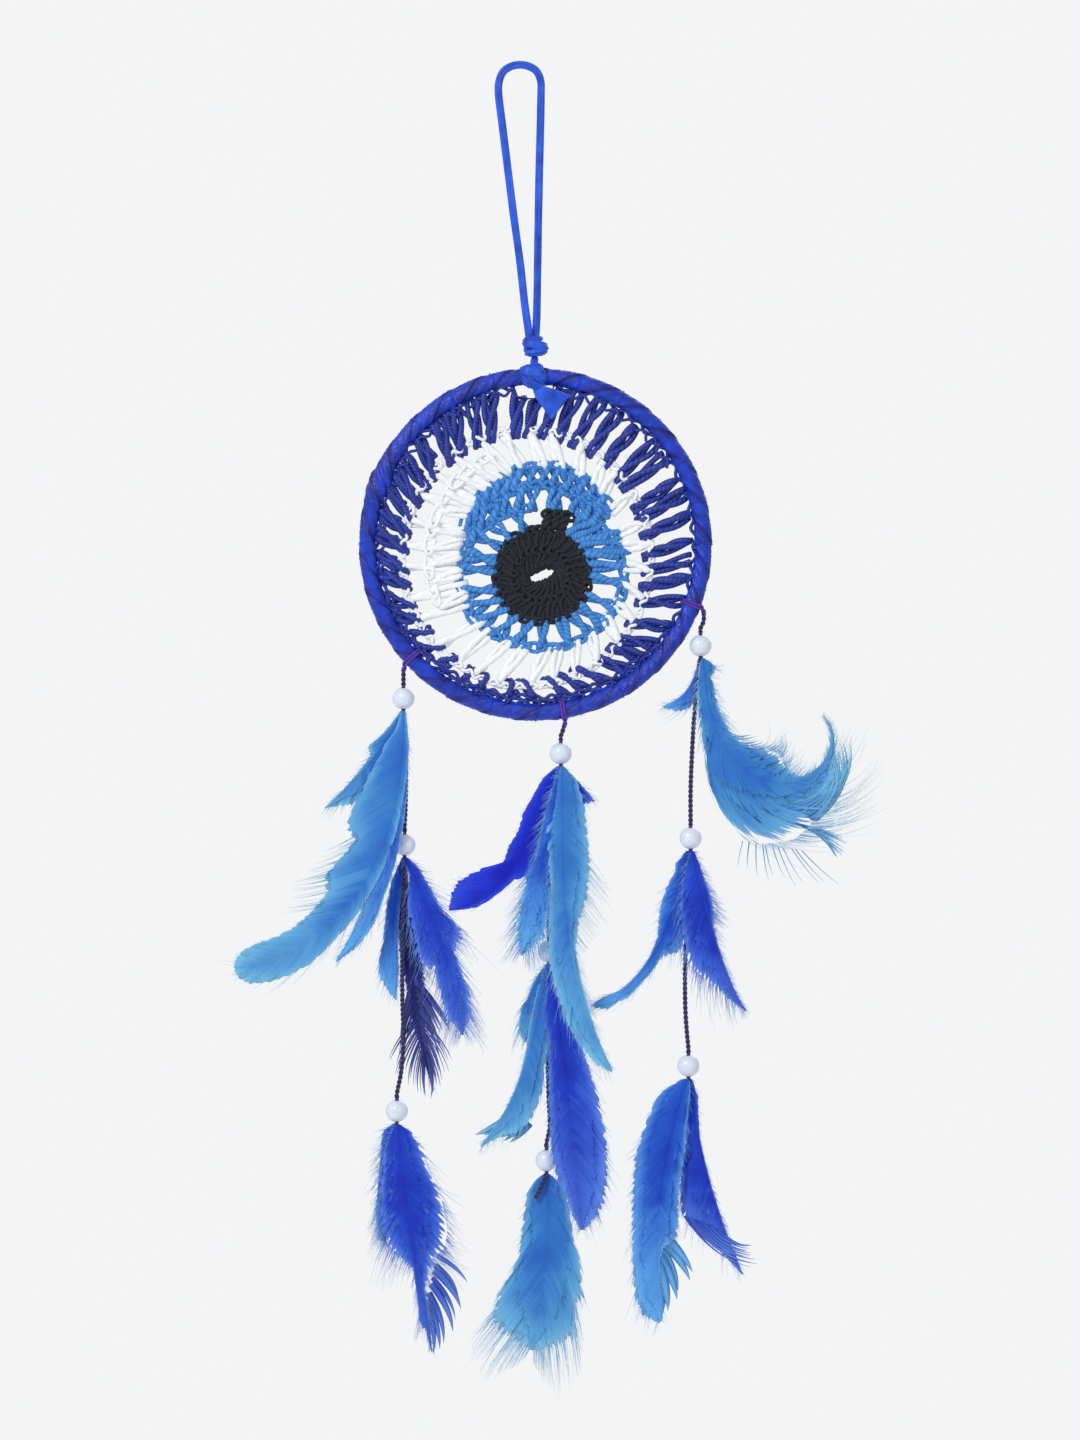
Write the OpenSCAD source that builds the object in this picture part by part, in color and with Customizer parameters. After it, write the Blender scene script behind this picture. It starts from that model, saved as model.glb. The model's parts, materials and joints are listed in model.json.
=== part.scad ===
// Crocheted evil eye ornament: a ribbon-wrapped hoop on a hanging loop, a crocheted
// eye inside it, and three drops of cord, pearls and feathers below it.
// The front faces -Y and +Z is up. The origin is the top of the hanging loop, on the
// middle of its ribbon, where a hook holds it.

/* [Hoop] */
// Outside diameter of the ribbon-wrapped hoop
hoop_d = 160; // [156:1:162]
// Thickness of the hoop with its ribbon wrap
wrap_d = 7.4; // [7:0.1:7.6]
// Diameter of the wire ring inside the wrap
core_d = 3.6; // [2:0.2:5]

/* [Crochet] */
// Thickness of the crocheted rounds
yarn_t = 3; // [2:0.5:4]
// Number of stitches in the dark blue round
stitches = 44; // [30:2:50]
// Radius of the pupil
pupil_r = 22; // [20:1:24]
// Part of the way across a round where its openings begin
slot_start = 0.22; // [0.15:0.01:0.3]
// Share of a stitch's width that is open
slot_share = 0.42; // [0.2:0.02:0.6]

/* [Hanging loop] */
// Width of the folded ribbon
ribbon_w = 3.6; // [3:0.2:4]
// Thickness of the folded ribbon
ribbon_t = 2; // [1.6:0.1:2.4]
// Diameter of the upper knot
knot_d = 10.4; // [9:0.2:10.6]

/* [Drops] */
// Diameter of a pearl
bead_d = 10; // [9:0.5:10]
// Bore of a pearl
bead_bore = 2.8; // [2.6:0.1:3.2]
// Thickness of a drop's twisted cord
cord_d = 2.2; // [1.8:0.1:2.2]
// Thickness of a feather
feather_t = 0.8; // [0.6:0.1:0.8]
// Thickness of a tie's thread
tie_d = 1.3; // [1:0.1:1.4]

/* [Hidden] */

$fn = 48;
// Middle of the hoop, and the radius of the circle that the middle of its tube follows
eye = [7, 0, -218];
tube_r = hoop_d / 2 - wrap_d / 2;
// Highest point of the tube's middle, which the lower knot holds
hoop_top = eye + [0, 0, tube_r];
// Clear of the wrap: the crochet's edge, its lacing thread and its ties
web_r = hoop_d / 2 - wrap_d - 0.2;
lacing_d = 1;
lacing_count = 24;
top_lacing = 6;
notch_depth = 1.4;
// Ovals of the rounds as [x, z, half width, half height], about the hoop's middle
iris = [3, -6, 39, 43];
white = [-4, -6, 57, 59];
// The black stitches that run up from the pupil, and the slit in its middle
column_w = 11;
column_h = 13;
column_at = [8.5, 14];
slit_l = 11;
slit_w = 3.6;
slit_tilt = 20;
pupil_at = [3, -14];
// Knots: the ring of the lower knot round the hoop, and the neck between the knots
upper_knot_at = [6.8, 0, -128.5];
neck_x = 6.3;
neck_top = -134;
neck_t = 1.2;
ring_w = 6;
ring_r = 5;
ring_bore = 4.05;
ring_x = 6;
bulge_r = 2.8;
bulge_l = 5;
bulge_at = [3.5, -5.2, 0.5];
tails_y = -4.6;
tails_t = 1;
tails = [[7.6, -149.2], [13, -149], [22, -149.8], [18, -160.6]];
// Angles of the ties round the hoop, from +X towards +Z
left_tie_at = -137.5;
centre_tie_at = -80.4;
right_tie_at = -20.8;
tie_gap = 1.1;

// Middles of the pearls
left_beads = [[-53, 0, -288], [-52.5, 0, -354.5], [-56, 0, -475.5]];
centre_beads = [[18.5, 0, -313], [13, 0, -403], [12, 0, -498]];
right_beads = [[82, 0, -264], [77.5, 0, -351.5], [76.5, 0, -455]];

// Routes of the loop and the cords, each from its upper end
hanger_route = [
  [4.2, -1, -124], [3.4, -1, -118], [2, -0.6, -108], [0, 0, -90], [-3, 0, -68],
  [-5.5, 0, -48], [-8, 0, -28], [-9.8, 0, -13], [-9.4, 0, -7], [-7.5, 0, -3],
  [-4, 0, -0.7], [0, 0, 0], [4, 0, -0.7], [7.5, 0, -3], [9.4, 0, -7.5],
  [9.5, 0, -14], [9.2, 0, -30], [8.7, 0, -50], [8.3, 0, -70], [8, 0.4, -90],
  [7.7, 1, -108], [7.4, 1.2, -118], [7, 1.2, -124]
];
left_route_a = [[-53, 0, -275], [-53, 0, -277], [-53, 0, -280.1]];
left_route_b = [
  [-53, 0, -281.5], [-53, 0, -288], [-53, 0, -294], [-52.5, 0, -305], [-52, 0, -320],
  [-52, 0, -335], [-52.5, 0, -346.6]
];
left_route_c = [
  [-52.5, 0, -348], [-52.5, 0, -354.5], [-52.5, 0, -361], [-53, 0, -380],
  [-53.5, 0, -402], [-53.5, 0, -425], [-53, 0, -443], [-54, 0, -457], [-56, 0, -467.6]
];
left_route_d = [[-56, 0, -469], [-56, 0, -475.5], [-56, 0, -483]];
centre_route_a = [[20, 0, -300.5], [19.3, 0, -303], [18.5, 0, -305.1]];
centre_route_b = [
  [18.5, 0, -306.5], [18.5, 0, -313], [18.5, 0, -319.5], [17.5, 0, -335],
  [16, 0, -355], [14.5, 0, -375], [13, 0, -388], [13, 0, -395.1]
];
centre_route_c = [
  [13, 0, -396.5], [13, 0, -403], [13, 0, -410], [13, 0, -430], [12.5, 0, -450],
  [13, 0, -470], [13.5, 0, -482], [12, 0, -490.1]
];
centre_route_d = [
  [12, 0, -491.5], [12, 0, -498], [12, -0.2, -503.5], [10, -1, -509], [7, -1.2, -515]
];
right_route_a = [[83.5, 0, -249.5], [83.4, 0, -253], [82, 0, -256.1]];
right_route_b = [
  [82, 0, -257.5], [82, 0, -264], [82, 0, -270.5], [80.5, 0, -282], [79, 0, -298],
  [78, 0, -316], [77.5, 0, -330], [77.5, 0, -343.6]
];
right_route_c = [
  [77.5, 0, -345], [77.5, 0, -351.5], [77.5, 0, -358], [76.5, 0, -375],
  [75.5, 0, -395], [75, 0, -410], [75, 0, -425], [75.5, 0, -436], [76.5, 0, -447.1]
];
right_route_d = [[76.5, 0, -448.5], [76.5, 0, -455], [76.5, 0, -462.5]];

// ---- Functions ----

// Points of an oval round the hoop's middle
function oval(o, n = 60) =
  [for (i = [0:n - 1]) [o[0] + o[2] * cos(i * 360 / n), o[1] + o[3] * sin(i * 360 / n)]];

// Where the ray at an angle from a middle meets an oval
function on_oval(o, angle) = [o[0] + o[2] * cos(angle), o[1] + o[3] * sin(angle)];

// A point part of the way from one oval to another
function between(inner, outer, angle, part) =
  on_oval(inner, angle) * (1 - part) + on_oval(outer, angle) * part;

function unit(v) = v / norm(v);

// Direction of a route at its point i, from the points on both sides
function along(route, i) =
  unit(route[min(i + 1, len(route) - 1)] - route[max(i - 1, 0)]);

// Points of one ring of a swept tube, across the route, w wide and t deep
function ring(p, dir, w, t, sides) =
  let (across = unit(cross([0, 1, 0], dir)), deep = cross(dir, across))
  [for (k = [0:sides - 1])
    p + across * w / 2 * cos(k * 360 / sides) + deep * t / 2 * sin(k * 360 / sides)];

// Direction angle of a feather's shaft, from straight down towards +X
function shaft_angle(start, end, bend, s) = start + (end - start) * pow(s, bend);

// Points along a feather's shaft, found by adding up short steps
function shaft(start, end, bend, length, n) =
  [for (i = 0, p = [0, 0]; i <= n; i = i + 1,
        p = p + length / n * [sin(shaft_angle(start, end, bend, (i - 0.5) / n)),
                              -cos(shaft_angle(start, end, bend, (i - 0.5) / n))]) p];

// Half width of a feather at a part s of its length: a bulge, widest at one place
function vane(width, widest, s) =
  max(0.6, width / 2 * pow(sin(180 * pow(s, ln(0.5) / ln(widest))), 0.7));

// ---- Shapes ----

// Places its children upright in the hoop's plane, as thick as the crochet
module in_plane(t) {
  translate([eye[0], t / 2, eye[2]])
    rotate([90, 0, 0])
      linear_extrude(t)
        children();
}

// The openings between the stitches of a round
module stitch_slots(inner, outer, count, skip_from = 0, skip_to = 0) {
  half = slot_share * 180 / count;
  for (i = [0:count - 1]) {
    a = i * 360 / count;
    if (a < skip_from || a >= skip_to)
      polygon([
        between(inner, outer, a - half, slot_start),
        between(inner, outer, a + half, slot_start),
        between(inner, outer, a + half, 1 - slot_start),
        between(inner, outer, a - half, 1 - slot_start)
      ]);
  }
}

module pupil_outline() {
  translate(pupil_at) circle(pupil_r);
  translate(column_at) square([column_w, column_h], center = true);
}

// A ring of thread round the hoop's tube at an angle round the hoop
module ring_on_tube(angle, thread_d, shift = 0) {
  translate(eye)
    rotate([0, -angle, 0])
      translate([tube_r, 0, shift])
        rotate_extrude()
          translate([wrap_d / 2 + thread_d / 2 + 0.05, 0])
            circle(d = thread_d, $fn = 24);
}

// A notch in the crochet's edge, where a thread passes through
module edge_notch(angle, w) {
  rotate(angle)
    translate([web_r - notch_depth, -w / 2])
      square([2 * notch_depth, w]);
}

// A notch in the crochet's top edge, where the lower knot's ring goes round the hoop
module knot_notch() {
  gap = 0.8;
  translate([ring_x - eye[0] - ring_w / 2 - gap, tube_r - ring_r - gap])
    square([ring_w + 2 * gap, ring_r]);
}

// A soft tube swept along a route, as one closed solid
module sweep(route, w, t, sides = 8) {
  n = len(route);
  points = [for (i = [0:n - 1]) each ring(route[i], along(route, i), w, t, sides)];
  sides_of = [for (i = [0:n - 2]) each [for (k = [0:sides - 1])
    [i * sides + k, i * sides + (k + 1) % sides,
     (i + 1) * sides + (k + 1) % sides, (i + 1) * sides + k]]];
  first = [for (k = [sides - 1:-1:0]) k];
  last = [for (k = [0:sides - 1]) (n - 1) * sides + k];
  polyhedron(points, concat(sides_of, [first, last]));
}

module cord(route) {
  color("midnightblue") sweep(route, cord_d, cord_d);
}

module bead(at) {
  color("aliceblue")
    translate(at)
      difference() {
        sphere(d = bead_d);
        cylinder(h = 2 * bead_d, d = bead_bore, center = true);
      }
}

module tie(angle) {
  color("indigo")
    union() {
      ring_on_tube(angle, tie_d, tie_gap / 2);
      ring_on_tube(angle, tie_d, -tie_gap / 2);
    }
}

// A flat feather: its root is at a point, y is its front face's depth at the root, and
// tilt leans its tip forwards
module feather(root, start, end, bend, length, width, widest, y, tilt) {
  n = 14;
  spine = shaft(start, end, bend, length, n);
  edge = function(side) [for (i = [0:n])
    let (a = shaft_angle(start, end, bend, i / n))
    spine[i] + side * vane(width, widest, i / n) * [cos(a), sin(a)]];
  left_edge = edge(-1);
  translate([root[0], y, root[1]])
    rotate([-tilt, 0, 0])
      translate([0, feather_t, 0])
        rotate([90, 0, 0])
          linear_extrude(feather_t)
            polygon(concat(edge(1), [for (i = [n:-1:0]) left_edge[i]]));
}

// ---- Hoop and crochet ----

module hoop_core() {
  color("silver")
    translate(eye)
      rotate([90, 0, 0])
        rotate_extrude($fn = 96)
          translate([tube_r, 0]) circle(d = core_d);
}

module hoop_wrap() {
  color("mediumblue")
    translate(eye)
      rotate([90, 0, 0])
        rotate_extrude($fn = 96)
          translate([tube_r, 0])
            difference() {
              circle(d = wrap_d);
              circle(d = core_d);
            }
}

module pupil_round() {
  color("black")
    in_plane(yarn_t)
      difference() {
        pupil_outline();
        translate(pupil_at)
          rotate(slit_tilt)
            square([slit_l, slit_w], center = true);
      }
}

module iris_round() {
  inner = [pupil_at[0], pupil_at[1], pupil_r, pupil_r];
  color("cornflowerblue")
    in_plane(yarn_t)
      difference() {
        polygon(oval(iris));
        pupil_outline();
        stitch_slots(inner, iris, 36, 60, 100);
      }
}

module white_round() {
  color("white")
    in_plane(yarn_t)
      difference() {
        polygon(oval(white));
        polygon(oval(iris));
        stitch_slots(iris, white, 40);
      }
}

module cobalt_round() {
  rim = [0, 0, web_r, web_r];
  color("navy")
    in_plane(yarn_t)
      difference() {
        circle(web_r, $fn = 96);
        polygon(oval(white));
        stitch_slots(white, rim, stitches);
        for (i = [0:lacing_count - 1])
          if (i != top_lacing)
            edge_notch(i * 360 / lacing_count, lacing_d + 0.8);
        for (angle = [left_tie_at, centre_tie_at, right_tie_at])
          edge_notch(angle, tie_d + tie_gap + 0.8);
        knot_notch();
      }
}

module lacing_thread() {
  color("royalblue")
    for (i = [0:lacing_count - 1])
      if (i != top_lacing)
        ring_on_tube(i * 360 / lacing_count, lacing_d);
}

// ---- Hanging loop and knots ----

module hanger_ribbon() {
  color("blue") sweep(hanger_route, ribbon_w, ribbon_t);
}

module upper_knot() {
  color("blue")
    translate(upper_knot_at)
      union() {
        sphere(d = knot_d);
        translate([-0.6, 0, 1.4])
          rotate([0, 24, 0])
            rotate_extrude()
              translate([knot_d / 2 - 1.4, 0]) circle(d = 3.6);
      }
}

module neck_ribbon() {
  bottom = hoop_top[2] + ring_r + 0.3;
  color("blue")
    difference() {
      translate([neck_x, 0, neck_top - ribbon_w / 2])
        rotate([90, 0, 0])
          cylinder(h = neck_t, d = ribbon_w, center = true);
      translate([neck_x - ribbon_w, -neck_t, bottom - ribbon_w])
        cube([2 * ribbon_w, 2 * neck_t, ribbon_w]);
    }
}

module hoop_knot() {
  color("blue")
    translate([ring_x - ring_w / 2, 0, hoop_top[2]])
      difference() {
        union() {
          rotate([0, 90, 0]) cylinder(h = ring_w, r = ring_r);
          translate(bulge_at - [bulge_l / 2, 0, 0]) {
            rotate([0, 90, 0]) cylinder(h = bulge_l, r = bulge_r);
            sphere(bulge_r);
            translate([bulge_l, 0, 0]) sphere(bulge_r);
          }
        }
        translate([-ring_w, 0, 0])
          rotate([0, 90, 0])
            cylinder(h = 3 * ring_w, r = ring_bore);
      }
}

module knot_tails() {
  color("blue")
    translate([0, tails_y, 0])
      rotate([90, 0, 0])
        linear_extrude(tails_t)
          polygon(tails);
}

// ---- Left drop ----

module left_tie() { tie(left_tie_at); }
module left_cord_a() { cord(left_route_a); }
module left_bead_1() { bead(left_beads[0]); }
module left_cord_b() { cord(left_route_b); }
module left_bead_2() { bead(left_beads[1]); }
module left_cord_c() { cord(left_route_c); }
module left_bead_3() { bead(left_beads[2]); }
module left_cord_d() { cord(left_route_d); }

module left_sweep_feather() {
  color("steelblue") feather(root = [-53, -293.5], start = 0, end = -84, bend = 1.5,
    length = 154, width = 25, widest = 0.58, y = -4.5, tilt = 5);
}

module left_inner_feather() {
  color("cornflowerblue") feather(root = [-53, -293.5], start = 2, end = -43, bend = 1.6,
    length = 122, width = 22, widest = 0.55, y = -3.4, tilt = 5);
}

module left_short_feather() {
  color("skyblue") feather(root = [-53.5, -293.5], start = -25, end = -52, bend = 1,
    length = 57, width = 16, widest = 0.6, y = -2.3, tilt = 5);
}

module left_royal_feather() {
  color("royalblue") feather(root = [-52.5, -360], start = 28, end = 8, bend = 1,
    length = 86, width = 20, widest = 0.55, y = -2.3, tilt = 1);
}

module left_light_feather() {
  color("dodgerblue") feather(root = [-53, -360], start = -14, end = 8, bend = 1,
    length = 66, width = 15, widest = 0.6, y = 1.5, tilt = -1);
}

module left_indigo_feather() {
  color("darkblue") feather(root = [-52.5, -360], start = 0, end = 14, bend = 1,
    length = 109, width = 15, widest = 0.7, y = 2.6, tilt = -1);
}

module left_tail_feather() {
  color("royalblue") feather(root = [-55.5, -481], start = 5, end = 12, bend = 1,
    length = 106, width = 32, widest = 0.42, y = -2.3, tilt = 0.5);
}

module left_back_feather() {
  color("dodgerblue") feather(root = [-56, -481], start = -16, end = 4, bend = 1,
    length = 56, width = 14, widest = 0.6, y = 1.5, tilt = -0.5);
}

// ---- Centre drop ----

module centre_tie() { tie(centre_tie_at); }
module centre_cord_a() { cord(centre_route_a); }
module centre_bead_1() { bead(centre_beads[0]); }
module centre_cord_b() { cord(centre_route_b); }
module centre_bead_2() { bead(centre_beads[1]); }
module centre_cord_c() { cord(centre_route_c); }
module centre_bead_3() { bead(centre_beads[2]); }
module centre_cord_d() { cord(centre_route_d); }

module centre_bent_feather() {
  color("mediumblue") feather(root = [18, -318.5], start = -22, end = -86, bend = 3,
    length = 87, width = 17, widest = 0.55, y = -3.4, tilt = 5);
}

module centre_long_feather() {
  color("steelblue") feather(root = [19, -318.5], start = 0, end = 35, bend = 2.6,
    length = 143, width = 23, widest = 0.45, y = -5.6, tilt = 5);
}

module centre_fluffy_feather() {
  color("cornflowerblue") feather(root = [18, -318.5], start = -9, end = -14, bend = 1,
    length = 88, width = 20, widest = 0.6, y = -4.5, tilt = 5);
}

module centre_top_feather() {
  color("royalblue") feather(root = [19, -318.5], start = 30, end = 55, bend = 1,
    length = 22, width = 10, widest = 0.5, y = -2.3, tilt = 5);
}

module centre_left_feather() {
  color("dodgerblue") feather(root = [12.5, -408.5], start = -10, end = -46, bend = 2.4,
    length = 90, width = 17, widest = 0.45, y = -3.4, tilt = 3);
}

module centre_royal_feather() {
  color("royalblue") feather(root = [13, -408.5], start = 10, end = 4, bend = 1,
    length = 122, width = 27, widest = 0.62, y = -4.5, tilt = 3);
}

module centre_short_feather() {
  color("skyblue") feather(root = [12.5, -408.5], start = -36, end = 4, bend = 1,
    length = 38, width = 12, widest = 0.6, y = -2.3, tilt = 3);
}

module centre_tail_feather() {
  color("deepskyblue") feather(root = [12, -503.5], start = 4, end = -14, bend = 1,
    length = 82, width = 38, widest = 0.55, y = 1.5, tilt = -1);
}

// ---- Right drop ----

module right_tie() { tie(right_tie_at); }
module right_cord_a() { cord(right_route_a); }
module right_bead_1() { bead(right_beads[0]); }
module right_cord_b() { cord(right_route_b); }
module right_bead_2() { bead(right_beads[1]); }
module right_cord_c() { cord(right_route_c); }
module right_bead_3() { bead(right_beads[2]); }
module right_cord_d() { cord(right_route_d); }

module right_curl_feather() {
  color("steelblue") feather(root = [83, -269.5], start = 5, end = 215, bend = 2,
    length = 134, width = 30, widest = 0.5, y = -2.3, tilt = 1);
}

module right_tip_feather() {
  color("dodgerblue") feather(root = [81.5, -269.5], start = -8, end = -100, bend = 1.6,
    length = 30, width = 9, widest = 0.55, y = 1.5, tilt = -1);
}

module right_left_feather() {
  color("dodgerblue") feather(root = [77, -357], start = -15, end = -80, bend = 2.6,
    length = 89, width = 16, widest = 0.5, y = 1.5, tilt = -1);
}

module right_royal_feather() {
  color("royalblue") feather(root = [78, -357], start = 11, end = 34, bend = 2,
    length = 78, width = 19, widest = 0.5, y = -2.3, tilt = 1);
}

module right_tail_feather() {
  color("dodgerblue") feather(root = [76, -460.5], start = -20, end = 8, bend = 1,
    length = 113, width = 29, widest = 0.45, y = -2.3, tilt = 0.5);
}

module right_back_feather() {
  color("mediumblue") feather(root = [77, -460.5], start = 7, end = 26, bend = 1.3,
    length = 94, width = 20, widest = 0.5, y = 1.5, tilt = -0.5);
}

// ---- Drawing ----

hoop_core();
hoop_wrap();
pupil_round();
iris_round();
white_round();
cobalt_round();
lacing_thread();
hanger_ribbon();
upper_knot();
neck_ribbon();
hoop_knot();
knot_tails();
left_tie();
left_cord_a();
left_bead_1();
left_cord_b();
left_bead_2();
left_cord_c();
left_bead_3();
left_cord_d();
left_sweep_feather();
left_inner_feather();
left_short_feather();
left_royal_feather();
left_light_feather();
left_indigo_feather();
left_tail_feather();
left_back_feather();
centre_tie();
centre_cord_a();
centre_bead_1();
centre_cord_b();
centre_bead_2();
centre_cord_c();
centre_bead_3();
centre_cord_d();
centre_bent_feather();
centre_long_feather();
centre_fluffy_feather();
centre_top_feather();
centre_left_feather();
centre_royal_feather();
centre_short_feather();
centre_tail_feather();
right_tie();
right_cord_a();
right_bead_1();
right_cord_b();
right_bead_2();
right_cord_c();
right_bead_3();
right_cord_d();
right_curl_feather();
right_tip_feather();
right_left_feather();
right_royal_feather();
right_tail_feather();
right_back_feather();
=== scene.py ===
"""Looks of a crocheted evil eye hanging: hoop, crochet, ribbon, pearls and feathers.

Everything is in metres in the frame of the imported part: +Z is up, the front faces -Y and
the origin is the top of the hanging loop. Shapes are worked out with numpy as whole
arrays, in millimetres, and turned into metres when they become meshes.
"""

import json
import logging
import math
from dataclasses import dataclass, field
from enum import Enum

import bpy
import numpy as np
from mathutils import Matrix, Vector


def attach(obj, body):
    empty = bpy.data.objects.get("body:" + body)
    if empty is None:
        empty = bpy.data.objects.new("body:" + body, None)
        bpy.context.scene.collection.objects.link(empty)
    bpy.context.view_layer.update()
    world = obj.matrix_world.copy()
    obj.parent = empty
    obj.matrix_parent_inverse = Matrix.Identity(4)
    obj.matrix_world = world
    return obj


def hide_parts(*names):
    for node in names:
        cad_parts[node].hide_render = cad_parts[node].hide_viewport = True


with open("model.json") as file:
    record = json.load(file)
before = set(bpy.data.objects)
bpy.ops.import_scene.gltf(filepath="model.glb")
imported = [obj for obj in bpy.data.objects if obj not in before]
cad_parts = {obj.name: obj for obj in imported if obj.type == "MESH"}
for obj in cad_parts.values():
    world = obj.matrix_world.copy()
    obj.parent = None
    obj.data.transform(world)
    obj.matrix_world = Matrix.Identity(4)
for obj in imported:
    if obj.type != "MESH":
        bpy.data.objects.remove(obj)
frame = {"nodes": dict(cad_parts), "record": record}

LOG = logging.getLogger("evil_eye")
MM = 0.001
EYE = np.array([7.0, 0.0, -218.0])
TUBE_R = 76.3
HOOP_TOP = (6.0, 0.0, -141.7)
FRONT = np.array([0.0, -1.0, 0.0])
Array = np.ndarray


# ---------------------------------------------------------------- numbers and curves


def srgb(red: int, green: int, blue: int) -> tuple[float, float, float, float]:
    """Turns a display colour into the linear colour that a shader reads.

    Each channel is raised by the display curve: c / 12.92 when dark, and
    ((c + 0.055) / 1.055) to the power 2.4 otherwise.

    Args:
        red: Red from 0 to 255.
        green: Green from 0 to 255.
        blue: Blue from 0 to 255.

    Returns:
        The linear colour with full alpha.
    """
    shown = np.array([red, green, blue]) / 255
    linear = np.where(shown <= 0.04045, shown / 12.92, ((shown + 0.055) / 1.055) ** 2.4)
    return (*(float(c) for c in linear), 1.0)


def smooth(low: float, high: float, x: Array) -> Array:
    """Smooth step: 0 below low, 1 above high, 3t^2 - 2t^3 between."""
    t = np.clip((x - low) / (high - low), 0, 1)
    return t * t * (3 - 2 * t)


def unit(v: Array) -> Array:
    """Vectors divided by their lengths, along the last axis."""
    return v / np.maximum(np.linalg.norm(v, axis=-1, keepdims=True), 1e-12)


def tangents(paths: Array, closed: bool = False) -> Array:
    """Directions along paths, from the neighbours on both sides.

    Args:
        paths: Points, (count, steps, 3).
        closed: Whether each path runs back to its start.

    Returns:
        Unit vectors, (count, steps, 3).
    """
    if closed:
        return unit(np.roll(paths, -1, axis=1) - np.roll(paths, 1, axis=1))
    return unit(np.gradient(paths, axis=1))


def carried_normals(along: Array, start: Array) -> Array:
    """Normals carried along paths with the least twist.

    Each step takes the last normal and removes its part along the new direction.

    Args:
        along: Directions, (count, steps, 3).
        start: A vector that the first normals lean to, (3,) or (count, 3).

    Returns:
        Unit normals, (count, steps, 3).
    """
    normals = np.empty_like(along)
    last = np.broadcast_to(start, along[:, 0].shape)
    for step in range(along.shape[1]):
        here = along[:, step]
        last = unit(last - np.sum(last * here, axis=1, keepdims=True) * here)
        normals[:, step] = last
    return normals


def spline(points: Array, steps: int) -> Array:
    """A smooth curve through points, evenly stepped (Catmull-Rom).

    Between points b and c, with a before and d after, the curve is
    b + (c-a)t/2 + (a-2.5b+2c-0.5d)t^2 + (-0.5a+1.5b-1.5c+0.5d)t^3.

    Args:
        points: Points to pass through, (n, 3).
        steps: How many points to give back.

    Returns:
        Points along the curve, (steps, 3), equally far apart along it.
    """
    p = np.vstack([2 * points[0] - points[1], points, 2 * points[-1] - points[-2]])
    u = np.linspace(0, len(points) - 1 - 1e-9, steps * 8)
    i, t = u.astype(int), (u % 1)[:, None]
    a, b, c, d = p[i], p[i + 1], p[i + 2], p[i + 3]
    fine = b + 0.5 * (c - a) * t + (a - 2.5 * b + 2 * c - 0.5 * d) * t**2
    fine = fine + (-0.5 * a + 1.5 * b - 1.5 * c + 0.5 * d) * t**3
    run = np.r_[0, np.cumsum(np.linalg.norm(np.diff(fine, axis=0), axis=1))]
    even = np.linspace(0, run[-1], steps)
    return np.stack([np.interp(even, run, fine[:, k]) for k in range(3)], axis=1)


def arc_length(points: Array) -> float:
    """Length of a polyline."""
    return float(np.linalg.norm(np.diff(points, axis=0), axis=1).sum())


# ---------------------------------------------------------------- meshes


@dataclass
class Solid:
    """Closed geometry as arrays: points, faces with their corners' UVs, attributes."""

    points: Array
    corners: Array
    sizes: Array
    uvs: Array
    marks: dict[str, Array] = field(default_factory=dict)

    @staticmethod
    def joined(solids: list["Solid"]) -> "Solid":
        """One solid of several, with their attributes kept.

        Args:
            solids: The solids to put together.

        Returns:
            The solid that holds them all.
        """
        starts = np.cumsum([0] + [len(s.points) for s in solids[:-1]])
        names = {name for s in solids for name in s.marks}
        return Solid(
            np.concatenate([s.points for s in solids]),
            np.concatenate([s.corners + k for s, k in zip(solids, starts)]),
            np.concatenate([s.sizes for s in solids]),
            np.concatenate([s.uvs for s in solids]),
            {
                n: np.concatenate([s.marks.get(n, np.zeros(len(s.points))) for s in solids])
                for n in names
            },
        )

    def piece(self, name: str) -> bpy.types.Object:
        """Makes the smooth-shaded Blender object, with its points turned into metres.

        Args:
            name: Name of the piece.

        Returns:
            The object, at the origin.
        """
        mesh = bpy.data.meshes.new(name)
        mesh.vertices.add(len(self.points))
        mesh.vertices.foreach_set("co", (self.points * MM).astype(np.float32).ravel())
        mesh.loops.add(len(self.corners))
        mesh.loops.foreach_set("vertex_index", self.corners.astype(np.int32))
        mesh.polygons.add(len(self.sizes))
        starts = np.r_[0, np.cumsum(self.sizes)[:-1]]
        mesh.polygons.foreach_set("loop_start", starts.astype(np.int32))
        mesh.update(calc_edges=True)
        mesh.polygons.foreach_set("use_smooth", np.ones(len(self.sizes), dtype=bool))
        layer = mesh.uv_layers.new(name="run")
        layer.uv.foreach_set("vector", self.uvs.astype(np.float32).ravel())
        for mark, values in self.marks.items():
            attribute = mesh.attributes.new(mark, "FLOAT", "POINT")
            attribute.data.foreach_set("value", values.astype(np.float32))
        obj = bpy.data.objects.new(name, mesh)
        bpy.context.scene.collection.objects.link(obj)
        return obj


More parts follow.
